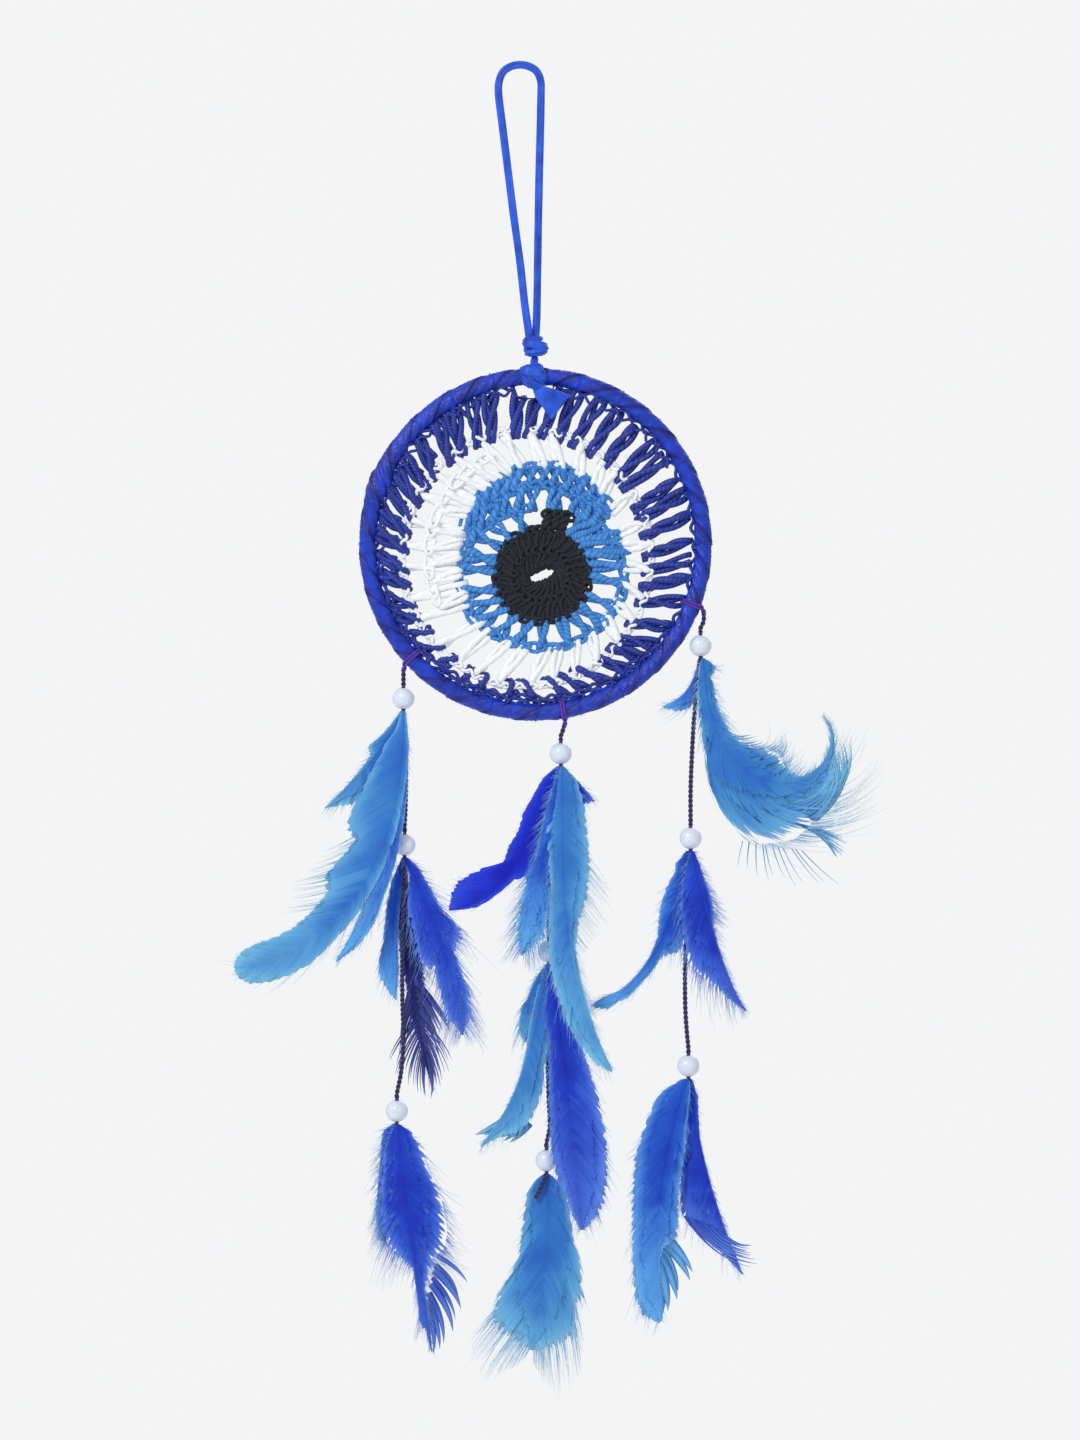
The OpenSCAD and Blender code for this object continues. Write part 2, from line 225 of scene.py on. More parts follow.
def loft(
    rings: Array, closed: bool = False, marks: dict[str, Array] | None = None
) -> Solid:
    """Joins rings of points into closed skins: quads between rings, and flat ends.

    The first skin's signed volume tells whether the faces must be turned outwards.

    Args:
        rings: Points of each ring, anticlockwise seen from ahead, (count, steps, sides, 3).
        closed: Whether the last ring joins the first.
        marks: Attributes that broadcast to (count, steps, sides).

    Returns:
        All the skins as one solid.
    """
    count, steps, sides, _ = rings.shape
    rows = steps if closed else steps - 1
    j, k = np.meshgrid(np.arange(rows), np.arange(sides), indexing="ij")
    after, beside = (j + 1) % steps, (k + 1) % sides
    corners = np.stack(
        [j * sides + k, j * sides + beside, after * sides + beside, after * sides + k], -1
    ).reshape(-1)
    middle = rings[0].mean(axis=1)
    run = np.r_[0, np.cumsum(np.linalg.norm(np.diff(middle, axis=0), axis=1))]
    run = np.r_[run, run[-1] + (run[1] if closed else 0)]
    uvs = np.stack(
        [
            np.stack([run[j], run[j], run[j + 1], run[j + 1]], -1),
            np.stack([k, k + 1, k + 1, k], -1) / sides,
        ],
        -1,
    ).reshape(-1, 2)
    sizes = np.full(rows * sides, 4)
    if not closed:
        first = np.arange(sides)[::-1]
        last = (steps - 1) * sides + np.arange(sides)
        corners = np.concatenate([corners, first, last])
        sizes = np.concatenate([sizes, [sides, sides]])
        uvs = np.concatenate([uvs, np.zeros((2 * sides, 2))])
    quads = corners[: rows * sides * 4].reshape(-1, 4)
    a, b, c, d = (rings[0].reshape(-1, 3)[quads[:, n]] - middle[0] for n in range(4))
    volume = np.sum(a * np.cross(b, c)) + np.sum(a * np.cross(c, d))
    if volume < 0:
        edges = [corners[: len(quads) * 4].reshape(-1, 4)[:, ::-1].reshape(-1)]
        sides_uv = [uvs[: len(quads) * 4].reshape(-1, 4, 2)[:, ::-1].reshape(-1, 2)]
        if not closed:
            edges += [first[::-1], last[::-1]]
            sides_uv.append(uvs[len(quads) * 4 :])
        corners, uvs = np.concatenate(edges), np.concatenate(sides_uv)
    offset = np.arange(count)[:, None] * steps * sides
    spread = {
        n: np.broadcast_to(v, (count, steps, sides)).reshape(-1)
        for n, v in (marks or {}).items()
    }
    return Solid(
        rings.reshape(-1, 3),
        (corners[None] + offset).reshape(-1),
        np.tile(sizes, count),
        np.tile(uvs, (count, 1)),
        spread,
    )


def sweep(
    paths: Array,
    wide: Array,
    deep: Array,
    profile: Array,
    closed: bool = False,
    marks: dict[str, Array] | None = None,
) -> Solid:
    """Carries a profile along many paths at once, with closed ends.

    The point of ring j, profile point k is path_j + profile_k.x * wide_j +
    profile_k.y * deep_j. Wide, deep and the path's direction make a right-handed set.

    Args:
        paths: Middles, (count, steps, 3).
        wide: Vectors across, with the width in their length, (count, steps, 3).
        deep: Vectors in depth, with the thickness in their length, (count, steps, 3).
        profile: The profile's points, anticlockwise, (sides, 2) or (steps, sides, 2).
        closed: Whether each path runs back to its start.
        marks: Attributes, each (count, steps) or (count, 1).

    Returns:
        The swept solid.
    """
    profile = np.broadcast_to(profile, (paths.shape[1], *profile.shape[-2:]))
    rings = (
        paths[:, :, None]
        + profile[None, :, :, :1] * wide[:, :, None]
        + profile[None, :, :, 1:] * deep[:, :, None]
    )
    return loft(rings, closed, {n: v[:, :, None] for n, v in (marks or {}).items()})


def circle(steps: int) -> Array:
    """Angles of evenly spaced points round a circle, in radians."""
    return np.arange(steps) * 2 * np.pi / steps


def disc(sides: int) -> Array:
    """Points of a round profile of radius 1, (sides, 2)."""
    angle = circle(sides)
    return np.stack([np.cos(angle), np.sin(angle)], axis=1)


def blunt(angle: Array, power: float) -> Array:
    """Cosine drawn out towards 1 and -1: its size is |cos| to the power, under 1."""
    return np.sign(np.cos(angle)) * np.abs(np.cos(angle)) ** power


def tubes(
    paths: Array,
    radius: Array | float,
    sides: int = 8,
    closed: bool = False,
    marks: dict[str, Array] | None = None,
) -> Solid:
    """Round tubes along many paths, whose depth leans forwards.

    Args:
        paths: Middles, (count, steps, 3).
        radius: Radius, a number or (count, steps).
        sides: Sides of each tube.
        closed: Whether each path runs back to its start.
        marks: Attributes for sweep.

    Returns:
        The tubes as one solid.
    """
    along = tangents(paths, closed)
    if closed:
        deep = unit(np.cross(along, np.cross(np.broadcast_to(FRONT, along.shape), along)))
    else:
        deep = carried_normals(along, FRONT)
    wide = np.cross(deep, along)
    size = np.broadcast_to(np.asarray(radius, float), paths.shape[:2])[..., None]
    return sweep(paths, wide * size, deep * size, disc(sides), closed, marks)


def lathe(outline: Array, centre: Array, steps: int = 48) -> Solid:
    """A closed ring turned about Z: point (r, h) goes to (r cos a, r sin a, h).

    Args:
        outline: Closed outline as (radius, height), anticlockwise, (n, 2).
        centre: Where its middle is, (3,).
        steps: Steps round.

    Returns:
        The turned solid.
    """
    a = circle(steps)
    outward = np.stack([np.cos(a), np.sin(a), 0 * a], axis=1)
    upward = np.broadcast_to([0.0, 0.0, 1.0], outward.shape)
    path = np.broadcast_to(centre, outward.shape)
    return sweep(path[None], outward[None], upward[None], outline[::-1], closed=True)


def side_tubes(path: Array, side: Array, radius: float) -> Solid:
    """Closed round tubes whose profiles start towards a given side.

    Args:
        path: Middles, (count, steps, 3).
        side: A direction for each tube, (count, 3).
        radius: Radius of the tubes.

    Returns:
        The tubes as one solid.
    """
    along = tangents(path, closed=True)
    wide = unit(side[:, None] - np.sum(side[:, None] * along, -1, keepdims=True) * along)
    deep = np.cross(along, wide)
    return sweep(path, wide * radius, deep * radius, disc(7), closed=True)


# ---------------------------------------------------------------- shader maths


class Value:
    """A number that a material works out, which takes + - * / ** and their kin."""

    def __init__(self, nodes: "Surface", socket: bpy.types.NodeSocket) -> None:
        """Wraps an output socket of a material."""
        self.nodes = nodes
        self.socket = socket

    def _math(self, operation: str, *values: "Value | float") -> "Value":
        """Adds a Math node."""
        inputs = dict(enumerate(values))
        return self.nodes.add("ShaderNodeMath", {"operation": operation}, inputs)

    def __add__(self, other: "Value | float") -> "Value":
        """Sum."""
        return self._math("ADD", self, other)

    __radd__ = __add__

    def __sub__(self, other: "Value | float") -> "Value":
        """Difference."""
        return self._math("SUBTRACT", self, other)

    def __rsub__(self, other: "Value | float") -> "Value":
        """Difference from a number."""
        return self._math("SUBTRACT", other, self)

    def __mul__(self, other: "Value | float") -> "Value":
        """Product."""
        return self._math("MULTIPLY", self, other)

    __rmul__ = __mul__

    def __pow__(self, other: "Value | float") -> "Value":
        """Power."""
        return self._math("POWER", self, other)

    def sine(self) -> "Value":
        """Sine of the value in radians."""
        return self._math("SINE", self)

    def clamped(self) -> "Value":
        """The value kept from 0 to 1."""
        return self._math("MINIMUM", self._math("MAXIMUM", self, 0.0), 1.0)


class Surface:
    """A material of one Principled shader, and the nodes that feed it."""

    def __init__(self, name: str) -> None:
        """Makes an empty material.

        Args:
            name: Name of the material.
        """
        self.material = bpy.data.materials.new(name)
        self.material.use_nodes = True
        self.tree = self.material.node_tree
        self.tree.nodes.clear()
        self.shader = self.tree.nodes.new("ShaderNodeBsdfPrincipled")
        self.output = self.tree.nodes.new("ShaderNodeOutputMaterial")
        self.tree.links.new(self.shader.outputs[0], self.output.inputs[0])

    def add(
        self,
        kind: str,
        settings: dict[str, object] | None = None,
        inputs: dict[object, object] | None = None,
        output: int | str = 0,
    ) -> Value:
        """Adds a node, sets it, then fills its sockets.

        Args:
            kind: The node's type.
            settings: Its settings; "stops" holds a ramp's (place, colour) pairs.
            inputs: Values or links by socket name or number.
            output: Which output to give back.

        Returns:
            The chosen output.
        """
        node = self.tree.nodes.new(kind)
        for key, value in (settings or {}).items():
            if key == "stops":
                elements = node.color_ramp.elements
                while len(elements) < len(value):
                    elements.new(0.5)
                for element, (place, colour) in zip(elements, value):
                    element.position = place
                    element.color = colour
            else:
                setattr(node, key, value)
        for key, value in (inputs or {}).items():
            self._fill(node.inputs[key], value)
        return Value(self, node.outputs[output])

    def _fill(self, socket: bpy.types.NodeSocket, value: object) -> None:
        """Links a Value to a socket, or sets it."""
        if isinstance(value, Value):
            self.tree.links.new(value.socket, socket)
        else:
            socket.default_value = value

    def mix(self, share: Value | float, first: object, second: object) -> Value:
        """Mixes two colours: first at share 0, second at 1."""
        return self.add(
            "ShaderNodeMix", {"data_type": "RGBA"}, {0: share, 6: first, 7: second}, 2
        )

    def mark(self, name: str) -> Value:
        """Reads one of the mesh's own attributes."""
        return self.add("ShaderNodeAttribute", {"attribute_name": name}, output="Fac")

    def uv(self) -> Value:
        """Reads the mesh's own UV map: millimetres along, and turns across."""
        return self.add("ShaderNodeUVMap", {"uv_map": "run"})

    def run(self) -> tuple[Value, Value]:
        """The two parts of the UV map as numbers."""
        uv = self.uv()
        along = self.add("ShaderNodeSeparateXYZ", None, {0: uv}, "X")
        across = self.add("ShaderNodeSeparateXYZ", None, {0: uv}, "Y")
        return along, across

    def place(self, scale: tuple[float, float, float] = (1, 1, 1)) -> Value:
        """Object coordinates, stretched by scale."""
        spot = self.add("ShaderNodeTexCoord", output="Object")
        return self.add("ShaderNodeMapping", None, {"Vector": spot, "Scale": scale})

    def noise(self, scale: float, detail: float = 2.0, where: Value | None = None) -> Value:
        """Smooth noise from 0 to 1.

        Args:
            scale: Bumps to a metre, on Object coordinates.
            detail: Octaves of finer noise.
            where: Coordinates to use in place of the object's own.

        Returns:
            The noise.
        """
        spot = where if where is not None else self.place()
        return self.add(
            "ShaderNodeTexNoise", None, {"Vector": spot, "Scale": scale, "Detail": detail}
        )

    def bump(self, height: Value, strength: float, distance: float) -> None:
        """Feeds a height, in parts of distance metres, to the shader's normal."""
        normal = self.add(
            "ShaderNodeBump",
            None,
            {"Height": height, "Strength": strength, "Distance": distance},
        )
        self._fill(self.shader.inputs["Normal"], normal)

    def set(self, **values: object) -> "Surface":
        """Sets or links the shader's sockets; words are joined by underscores."""
        for name, value in values.items():
            socket = self.shader.inputs[name.replace("_", " ")]
            self._fill(socket, value)
        return self


# ---------------------------------------------------------------- finishes


@dataclass(frozen=True)
class Satin:
    """Glossy ribbon with fine lengthwise threads and soft creases."""

    name: str
    deep: tuple[int, int, int]
    light: tuple[int, int, int]
    roughness: float = 0.36

    def material(self) -> bpy.types.Material:
        """Colour drifts with noise and with threads that run along the ribbon, and deepens with painted
        shade where the wrap's turns overlap.
        """
        s = Surface(self.name)
        cloud = s.noise(160.0, 3.0)
        threads = s.add(
            "ShaderNodeTexWave",
            {"wave_type": "BANDS", "bands_direction": "Y"},
            {"Vector": s.uv(), "Scale": 60.0, "Distortion": 1.2, "Detail": 2.0},
        )
        # Painted shade: the overlap mark deepens the colour by each overlapping turn edge of the hoop
        # wrap.
        share = (cloud * 1.7 - 0.35 + threads * 0.2 - s.mark("shade") * 0.7).clamped()
        s.set(
            Base_Color=s.mix(share, srgb(*self.deep), srgb(*self.light)),
            Roughness=(cloud * 0.16 + (self.roughness - 0.08)).clamped(),
            Specular_IOR_Level=0.4,
            Coat_Weight=0.18,
            Coat_Roughness=0.22,
        )
        s.bump(threads * 0.25 + cloud, 0.35, 0.0004)
        return s.material


@dataclass(frozen=True)
class Yarn:
    """Plied thread: diagonal plies along each strand, with a little fuzz."""

    name: str
    deep: tuple[int, int, int]
    light: tuple[int, int, int]
    ply_mm: float = 1.4
    sheen: float = 0.35
    roughness: float = 0.72
    relief: float = 0.7

    def material(self) -> bpy.types.Material:
        """Ply height is the sine of turns across plus distance along each ply; it drives the bump and
        paints shade into the colour, darker in the grooves between plies.
        """
        s = Surface(self.name)
        along, across = s.run()
        turn = across * (4 * math.pi) + along * (2 * math.pi / self.ply_mm)
        ply = turn.sine() * 0.5 + 0.5
        fuzz = s.noise(2600.0, 3.0)
        patch = s.noise(220.0, 2.0)
        # Painted shade: the colour follows the ply height and is deepest in the grooves between plies;
        # fuzz and patch noise add random tone.
        share = (ply * 0.5 + fuzz * 0.35 + patch * 0.6 - 0.25).clamped()
        s.set(
            Base_Color=s.mix(share, srgb(*self.deep), srgb(*self.light)),
            Roughness=(fuzz * 0.2 + (self.roughness - 0.1)).clamped(),
            Sheen_Weight=self.sheen,
            Sheen_Roughness=0.5,
        )
        s.bump(ply * 0.8 + fuzz * 0.5, self.relief, 0.0003)
        return s.material


@dataclass(frozen=True)
class Pearl:
    """Pearl lacquer over plastic: cool white, softly cloudy, under a clear coat."""

    name: str = "pearl_lacquer"

    def material(self) -> bpy.types.Material:
        """Clouds of slightly bluer white, and a rougher patch here and there."""
        s = Surface(self.name)
        cloud = s.noise(260.0, 3.0)
        fleck = s.noise(1800.0, 2.0)
        s.set(
            Base_Color=s.mix(cloud, srgb(206, 220, 242), srgb(238, 243, 250)),
            Roughness=(cloud * 0.12 + fleck * 0.06 + 0.16).clamped(),
            Coat_Weight=0.7,
            Coat_Roughness=0.12,
            Sheen_Weight=0.3,
            Sheen_Tint=srgb(190, 205, 255),
            Subsurface_Weight=0.15,
            Subsurface_Scale=0.002,
        )
        s.bump(fleck, 0.12, 0.0001)
        return s.material


@dataclass(frozen=True)
class Wire:
    """Drawn steel wire, inside the wrap."""

    name: str = "drawn_wire"

    def material(self) -> bpy.types.Material:
        """Fine scratches vary its roughness."""
        s = Surface(self.name)
        scratch = s.noise(900.0, 4.0, s.place((1, 1, 6)))
        s.set(
            Base_Color=srgb(176, 178, 182),
            Metallic=1.0,
            Roughness=(scratch * 0.25 + 0.2).clamped(),
        )
        s.bump(scratch, 0.15, 0.0001)
        return s.material


@dataclass(frozen=True)
class Dye:
    """Dyed feather: dark by the shaft, paler out along each barb, palest in its wisps."""

    name: str
    deep: tuple[int, int, int]
    body: tuple[int, int, int]
    light: tuple[int, int, int]
    pale: tuple[int, int, int]
    edge: float = 0.8
    tip: float = 0.5

    def material(self) -> bpy.types.Material:
        """Mixes four shades by reach along the barb, place along the shaft and lock."""
        s = Surface(self.name)
        reach, along = s.mark("reach"), s.mark("along")
        lock, hair = s.mark("lock"), s.mark("hair")
        fringe, ghost = s.mark("fringe"), s.mark("ghost")
        cloud = s.noise(55.0, 3.0)
        inner = (reach * 0.7 + cloud * 1.2 + lock * 0.25 + hair * 0.35 - 0.5).clamped()
        outer = (
            (reach**2.0) * self.edge + (along**2.5) * self.tip + lock * 0.2 + hair * 0.3
            + cloud * 0.6 - 0.72
        ).clamped()
        base = s.mix(inner, srgb(*self.deep), srgb(*self.body))
        base = s.mix(outer, base, srgb(*self.light))
        s.set(
            Base_Color=s.mix(fringe.clamped(), base, srgb(*self.pale)),
            Roughness=(hair * 0.15 + 0.55).clamped(),
            Alpha=(4.0 - ghost * (hair * 6.6 + 2.7)).clamped(),
            Sheen_Weight=0.08,
            Sheen_Roughness=0.45,
            Specular_IOR_Level=0.22,
        )
        s.bump(hair, 0.3, 0.0002)
        return s.material


SATIN = Satin("royal_satin", (0, 14, 122), (6, 64, 214), 0.32)
RIBBON = Satin("ribbon_satin", (4, 36, 150), (30, 100, 240), 0.38)
DARK_YARN = Yarn("dark_blue_thread", (4, 14, 90), (30, 66, 190), 1.6, 0.08, 0.45)
PALE_YARN = Yarn("light_blue_yarn", (24, 96, 180), (84, 166, 236), 1.6, 0.1)
WHITE_YARN = Yarn("white_yarn", (236, 240, 244), (254, 254, 254), 3.2, 0.1, 0.7, 0.3)
BLACK_YARN = Yarn("black_yarn", (2, 4, 12), (20, 27, 46), 1.6, 0.08)
TIE_THREAD = Yarn("purple_thread", (44, 8, 120), (118, 56, 214), 0.9, 0.1, 0.4)
CORD_THREAD = Yarn("dark_purple_thread", (14, 8, 52), (64, 48, 128), 0.9, 0.1, 0.4)


# ---------------------------------------------------------------- feathers


class Vane(Enum):
    """How barbs hold: lock width in mm, splits, fringe in mm, hairs, sway, gauze, layers."""

    TIGHT = (4.5, 0.05, 0.5, 1.0, 0.03, 0.2, 1)
    SOFT = (3.4, 0.08, 0.9, 1.8, 0.06, 0.5, 2)
    DOWNY = (2.6, 0.13, 2.0, 3.0, 0.12, 0.9, 3)
    SPARSE = (0.9, 0.30, 2.0, 0.8, 0.10, 0.7, 1)


Edge = tuple[tuple[float, float], ...]
MARKS = ("reach", "along", "lock", "hair", "ghost", "fringe")
LAYER_SHARE = (1.0, 0.74, 0.5)
LAYER_STEP = 0.42
FAN_STEPS = 16
HAIR_STEPS = 9
HAIR_WIDTH = 0.22
HAIR_ROOT = 1.6


@dataclass(frozen=True)
class Fan:
    """Separate curved locks with their roots on a line: angles and lengths go in steps."""

    first: tuple[float, float]
    last: tuple[float, float]
    angles: tuple[float, float]
    turn: float
    lengths: tuple[float, float]
    width: float
    count: int
    front: float = 0.5

    def solid(self, depth: float, rng: np.random.Generator) -> Solid:
        """Thin tapering locks, whose direction turns by turn * t^1.5 from root to tip.

        Args:
            depth: Where their feather is, in y.
            rng: The source of its chance.

        Returns:
            The locks as one solid.
        """
        k = (np.arange(self.count) + rng.uniform(-0.3, 0.3, self.count)) / max(self.count - 1, 1)
        t = np.linspace(0, 1, FAN_STEPS)[None]
        turn = self.turn * rng.uniform(0.75, 1.25, (self.count, 1))
        start = self.angles[0] + (self.angles[1] - self.angles[0]) * k
        a = np.radians(start[:, None] + turn * t**1.5)
        length = self.lengths[0] + (self.lengths[1] - self.lengths[0]) * k
        step = (length * rng.uniform(0.85, 1.1, self.count))[:, None] / (FAN_STEPS - 1)
        root = np.array(self.first) + (np.array(self.last) - self.first) * k[:, None]
        x = root[:, :1] + np.cumsum(np.sin(a), 1) * step
        z = root[:, 1:] - np.cumsum(np.cos(a), 1) * step
        y = depth - self.front - rng.uniform(0, 0.6, (self.count, 1)) + 0 * t
        breadth = self.width * rng.uniform(0.6, 1.2, (self.count, 1)) * (1 - t**2.4) + 0.12
        across = np.stack([np.cos(a), 0 * a, np.sin(a)], -1)
        deep = np.broadcast_to(FRONT, across.shape)
        outline = np.array([[-0.5, 0.0], [0.0, -0.08], [0.5, 0.0], [0.0, 0.12]])
        lock, hair = rng.random((2, self.count, 1))
        values = (0.35 + 0.55 * t, 0.7 + 0.3 * t, lock, hair, 0.35 * t**2, 0.3 * t**2)
        marks = {name: value + 0 * a for name, value in zip(MARKS, values)}
        return sweep(np.stack([x, y, z], -1), across * breadth[..., None], deep, outline,
                     marks=marks)


@dataclass
class Feather:
    """One feather: a bending shaft, a vane woven of barb lines, and loose hairs.

    Each edge is an outline: half widths in mm at places from 0 to 1 along the shaft.
    Left is the side towards -X of a hanging feather. The shaft starts at root, which is
    (x, z), and its direction angle is 0 straight down and 90 to the right. A wisp is a
    tuft of long hairs: its side, its first and last place, its length and its count.
    """

    name: str
    root: tuple[float, float]
    start: float
    end: float
    bend: float
    length: float
    depth: float
    tilt: float
    dye: Dye
    left: Edge
    right: Edge
    vane: Vane = Vane.SOFT
    angle: float = 42.0
    bow: float = 2.0
    fans: tuple[Fan, ...] = ()
    wisps: tuple[tuple[int, float, float, float, int], ...] = ()
    quill: float = 0.25
    seed: int = 1

    def shaft(self, s: Array) -> tuple[Array, Array, Array, Array]:
        """The shaft's points and directions.

        Its direction angle goes from start to end as s to the power bend, and its
        points are the running sum of short steps. It leans by tilt, and bows forwards.
        Beyond its end it runs straight on.

        Args:
            s: Places along the shaft, from 0 to 1.

        Returns:
            Points, directions along, directions across and directions forwards.
        """
        fine = np.linspace(0, 1, 401)
        middle = (fine[1:] + fine[:-1]) / 2
        turn = np.radians(self.start + (self.end - self.start) * middle**self.bend)
        step = self.length / 400
        x = np.r_[0, np.cumsum(np.sin(turn))] * step
        z = np.r_[0, -np.cumsum(np.cos(turn))] * step
        lean, t = math.radians(self.tilt), np.clip(s, 0, 1)
        a = np.radians(self.start + (self.end - self.start) * t**self.bend)
        past = (s - t) * self.length
        px = np.interp(t, fine, x) + past * np.sin(a)
        pz = np.interp(t, fine, z) - past * np.cos(a)
        forward = math.sin(lean) * pz - 0.5 * self.bow * np.sin(np.pi * t)
        zero = np.zeros_like(t)
        points = np.stack(
            [self.root[0] + px, self.depth + forward, self.root[1] + pz], axis=-1
        )
        along = np.stack([np.sin(a), zero - math.sin(lean) * np.cos(a), -np.cos(a)], -1)
        across = np.stack([np.cos(a), zero, np.sin(a)], axis=-1)
        front = unit(np.cross(along, across))
        return points, unit(along), across, front

    def reach(self, s: Array, side: int) -> tuple[Array, Array]:
        """How far barbs reach sideways, and the cotangent of the angle they leave at.

        A barb that leaves at s is at s + width * cot / length when it is width away
        from the shaft; it ends where it first meets the outline.

        Args:
            s: Where the barbs leave the shaft.
            side: Which side they are on, -1 for left and 1 for right.

        Returns:
            Reaches and cotangents.
        """
        opening = self.angle * (1 - 0.5 * s**2 + 0.85 * np.exp(-14 * s))
        cot = 1 / np.tan(np.radians(opening))
        edge = np.array(self.left if side < 0 else self.right)
        grid = np.linspace(0, 1, 1501)
        outline = np.interp(grid, edge[:, 0], edge[:, 1])
        width = (grid[None] - s[:, None]) * (self.length / cot)[:, None]
        met = (width >= outline[None]) & (width >= 0)
        first = np.argmax(met, axis=1)
        return np.maximum(width[np.arange(len(s)), first], 0.25), cot

    def lines(self, s: Array, side: int, reach: Array, cot: Array, t: Array) -> Array:
        """Barb lines: sideways as t, forwards as t^1.25, falling back as they go out.

        Args:
            s: Where they leave the shaft, (count,).
            side: Which side they are on.
            reach: Their reaches, (count,).
            cot: Cotangents of their angles, (count,).
            t: Places along them, (count, steps) or (1, steps).

        Returns:
            Points, (count, steps, 3).
        """
        lateral = reach[:, None] * t
        place = s[:, None] + (reach * cot / self.length)[:, None] * t**1.25
        base, _, across, front = self.shaft(place)
        wave = np.sin(self.seed + 2 * side + 9 * place + 0.12 * lateral)
        camber = 0.045 * wave * lateral - 0.05 * lateral * t
        return base + side * across * lateral[..., None] + front * camber[..., None]

    def locks(self, s: Array, rng: np.random.Generator) -> tuple[Array, Array, Array]:
        """Parts barbs into locks of random width.

        Args:
            s: Where the barbs leave the shaft.
            rng: The source of its chance.

        Returns:
            Each barb's lock, its place in the lock from -1 to 1, and the lock's middle.
        """
        size = self.vane.value[0] / self.length
        ends = np.cumsum(rng.uniform(0.35, 1.65, int(3 / size) + 8) * size)
        lock = np.searchsorted(ends, s)
        low = np.r_[0.0, ends][lock]
        middle = (ends[lock] + low) / 2
        return lock, (s - middle) / ((ends[lock] - low) / 2), middle

    def web(self, layer: int, rng: np.random.Generator) -> Solid:
        """One layer of the vane: a thin slab of barb lines, split between its locks.

        Args:
            layer: 0 for the widest; the next ones are shorter and lie in front.
            rng: The source of its chance.

        Returns:
            The layer.
        """
        _, split, _, _, sway, gauze, _ = self.vane.value
        rows = int(np.clip(self.length * 3.2, 120, 460))
        s = np.linspace(0.002, 0.985, rows)
        t = 1 - (1 - np.linspace(0, 1, 11)[None]) ** 1.3
        coarse = np.interp(s * self.length, np.arange(0, 240, 1.5), rng.random(160))
        wide = np.interp(s * self.length, np.arange(0, 240, 4.0), rng.random(60))
        streak = 0.4 * rng.random(rows) + 0.35 * coarse + 0.25 * wide
        share = LAYER_SHARE[layer]
        halves, ghosts, shades = [], [], []
        for side in (-1, 1):
            reach, cot = self.reach(s, side)
            lock, inside, middle = self.locks(s, rng)
            level = rng.normal(0, 0.5, lock.max() + 1)[lock]
            height = rng.normal(0, 0.12 + sway, lock.max() + 1)[lock]
            taper = 1 - split * (0.3 + np.abs(inside) ** 3) * (0.8 + 0.4 * coarse)
            if layer:
                taper = taper * (1 + 0.25 * level)
            reach = np.maximum(reach * share * (taper + 0.35 * split * level), 0.2)
            path = self.lines(s, side, reach, cot, t)
            _, along, _, front = self.shaft(s)
            gather = (middle - s)[:, None] * self.length * 3.0 * split * t**2
            lift = height[:, None] * t * np.minimum(reach, 8)[:, None] * 0.3
            path = path + along[:, None] * gather[..., None] + front[:, None] * lift[..., None]
            halves.append(path)
            start = 0.86 - 0.2 * gauze if layer == 0 else 0.45
            loose = gauze if layer == 0 else 1.0
            ghosts.append(loose * smooth(start, 1.04, t) * (1 + 0.4 * level)[:, None])
            shades.append(0.5 + 0.3 * level[:, None] + 0 * t)
        front = self.shaft(s)[3][:, None] * (0.10 + LAYER_STEP * layer)
        back = self.shaft(s)[3][:, None] * (LAYER_STEP * layer)
        sheet = np.concatenate([halves[0][:, :0:-1], halves[1]], axis=1)
        rings = np.concatenate([sheet + front, (sheet + back)[:, ::-1]], axis=1)

        def both(values: list[Array]) -> Array:
            """Values of both halves, in the order of the ring's points."""
            row = np.concatenate([values[0][:, :0:-1], values[1]], axis=1)
            return np.concatenate([row, row[:, ::-1]], axis=1)[None]

        marks = {
            "reach": both([t * share * np.ones((rows, 1))] * 2),
            "along": s[None, :, None],
            "lock": both(shades),
            "hair": streak[None, :, None],
            "ghost": both(ghosts),
            "fringe": both([0.4 * gauze * smooth(0.7, 1.0, t) * share + 0 * s[:, None]] * 2),
        }
        return loft(rings[None], marks=marks)

    def hairs(self, side: int, s: Array, beyond: Array, rng: np.random.Generator) -> Solid:
        """Loose barbs that run on past the edge, thin as hairs.

        Args:
            side: Which side they are on.
            s: Where they leave the shaft.
            beyond: How far they pass the edge in mm.
            rng: The source of its chance.

        Returns:
            The hairs as one solid.
        """
        count = len(s)
        reach, cot = self.reach(s, side)
        beyond = np.minimum(beyond, 0.7 * reach + 0.6)
        far = (reach + beyond) / reach
        low = np.clip(1 - HAIR_ROOT / reach, 0.3, 0.94)
        run = np.linspace(0, 1, HAIR_STEPS)[None]
        t = low[:, None] + (far - low)[:, None] * run
        paths = self.lines(s, side, reach, cot, t)
        _, along, across, front = self.shaft(s)
        sway = self.vane.value[4] * 2.2
        room = np.minimum(beyond + 3, 14)[:, None] * run**2
        bend = rng.normal(0, sway, (count, 1)) * room
        drift = rng.normal(0, sway * 0.6, (count, 1)) * room
        lift = rng.normal(0.3 * sway, sway * 0.5, (count, 1)) * np.minimum(room, 5)
        paths = (
            paths
            + along[:, None] * bend[..., None]
            + side * across[:, None] * drift[..., None]
            + front[:, None] * (lift + 0.06)[..., None]
        )
        direction = tangents(paths)
        facing = np.sum(front[:, None] * direction, -1, keepdims=True)
        deep = unit(front[:, None] - facing * direction)
        wide = np.cross(deep, direction)
        breadth = HAIR_WIDTH * (1 - 0.75 * run) * (0.6 + 0.6 * rng.random((count, 1)))
        lock, hair = rng.random((2, count, 1))
        values = (np.minimum(t, 1), s[:, None], lock, hair, 0.5 * run, 0.45 + 0.45 * run)
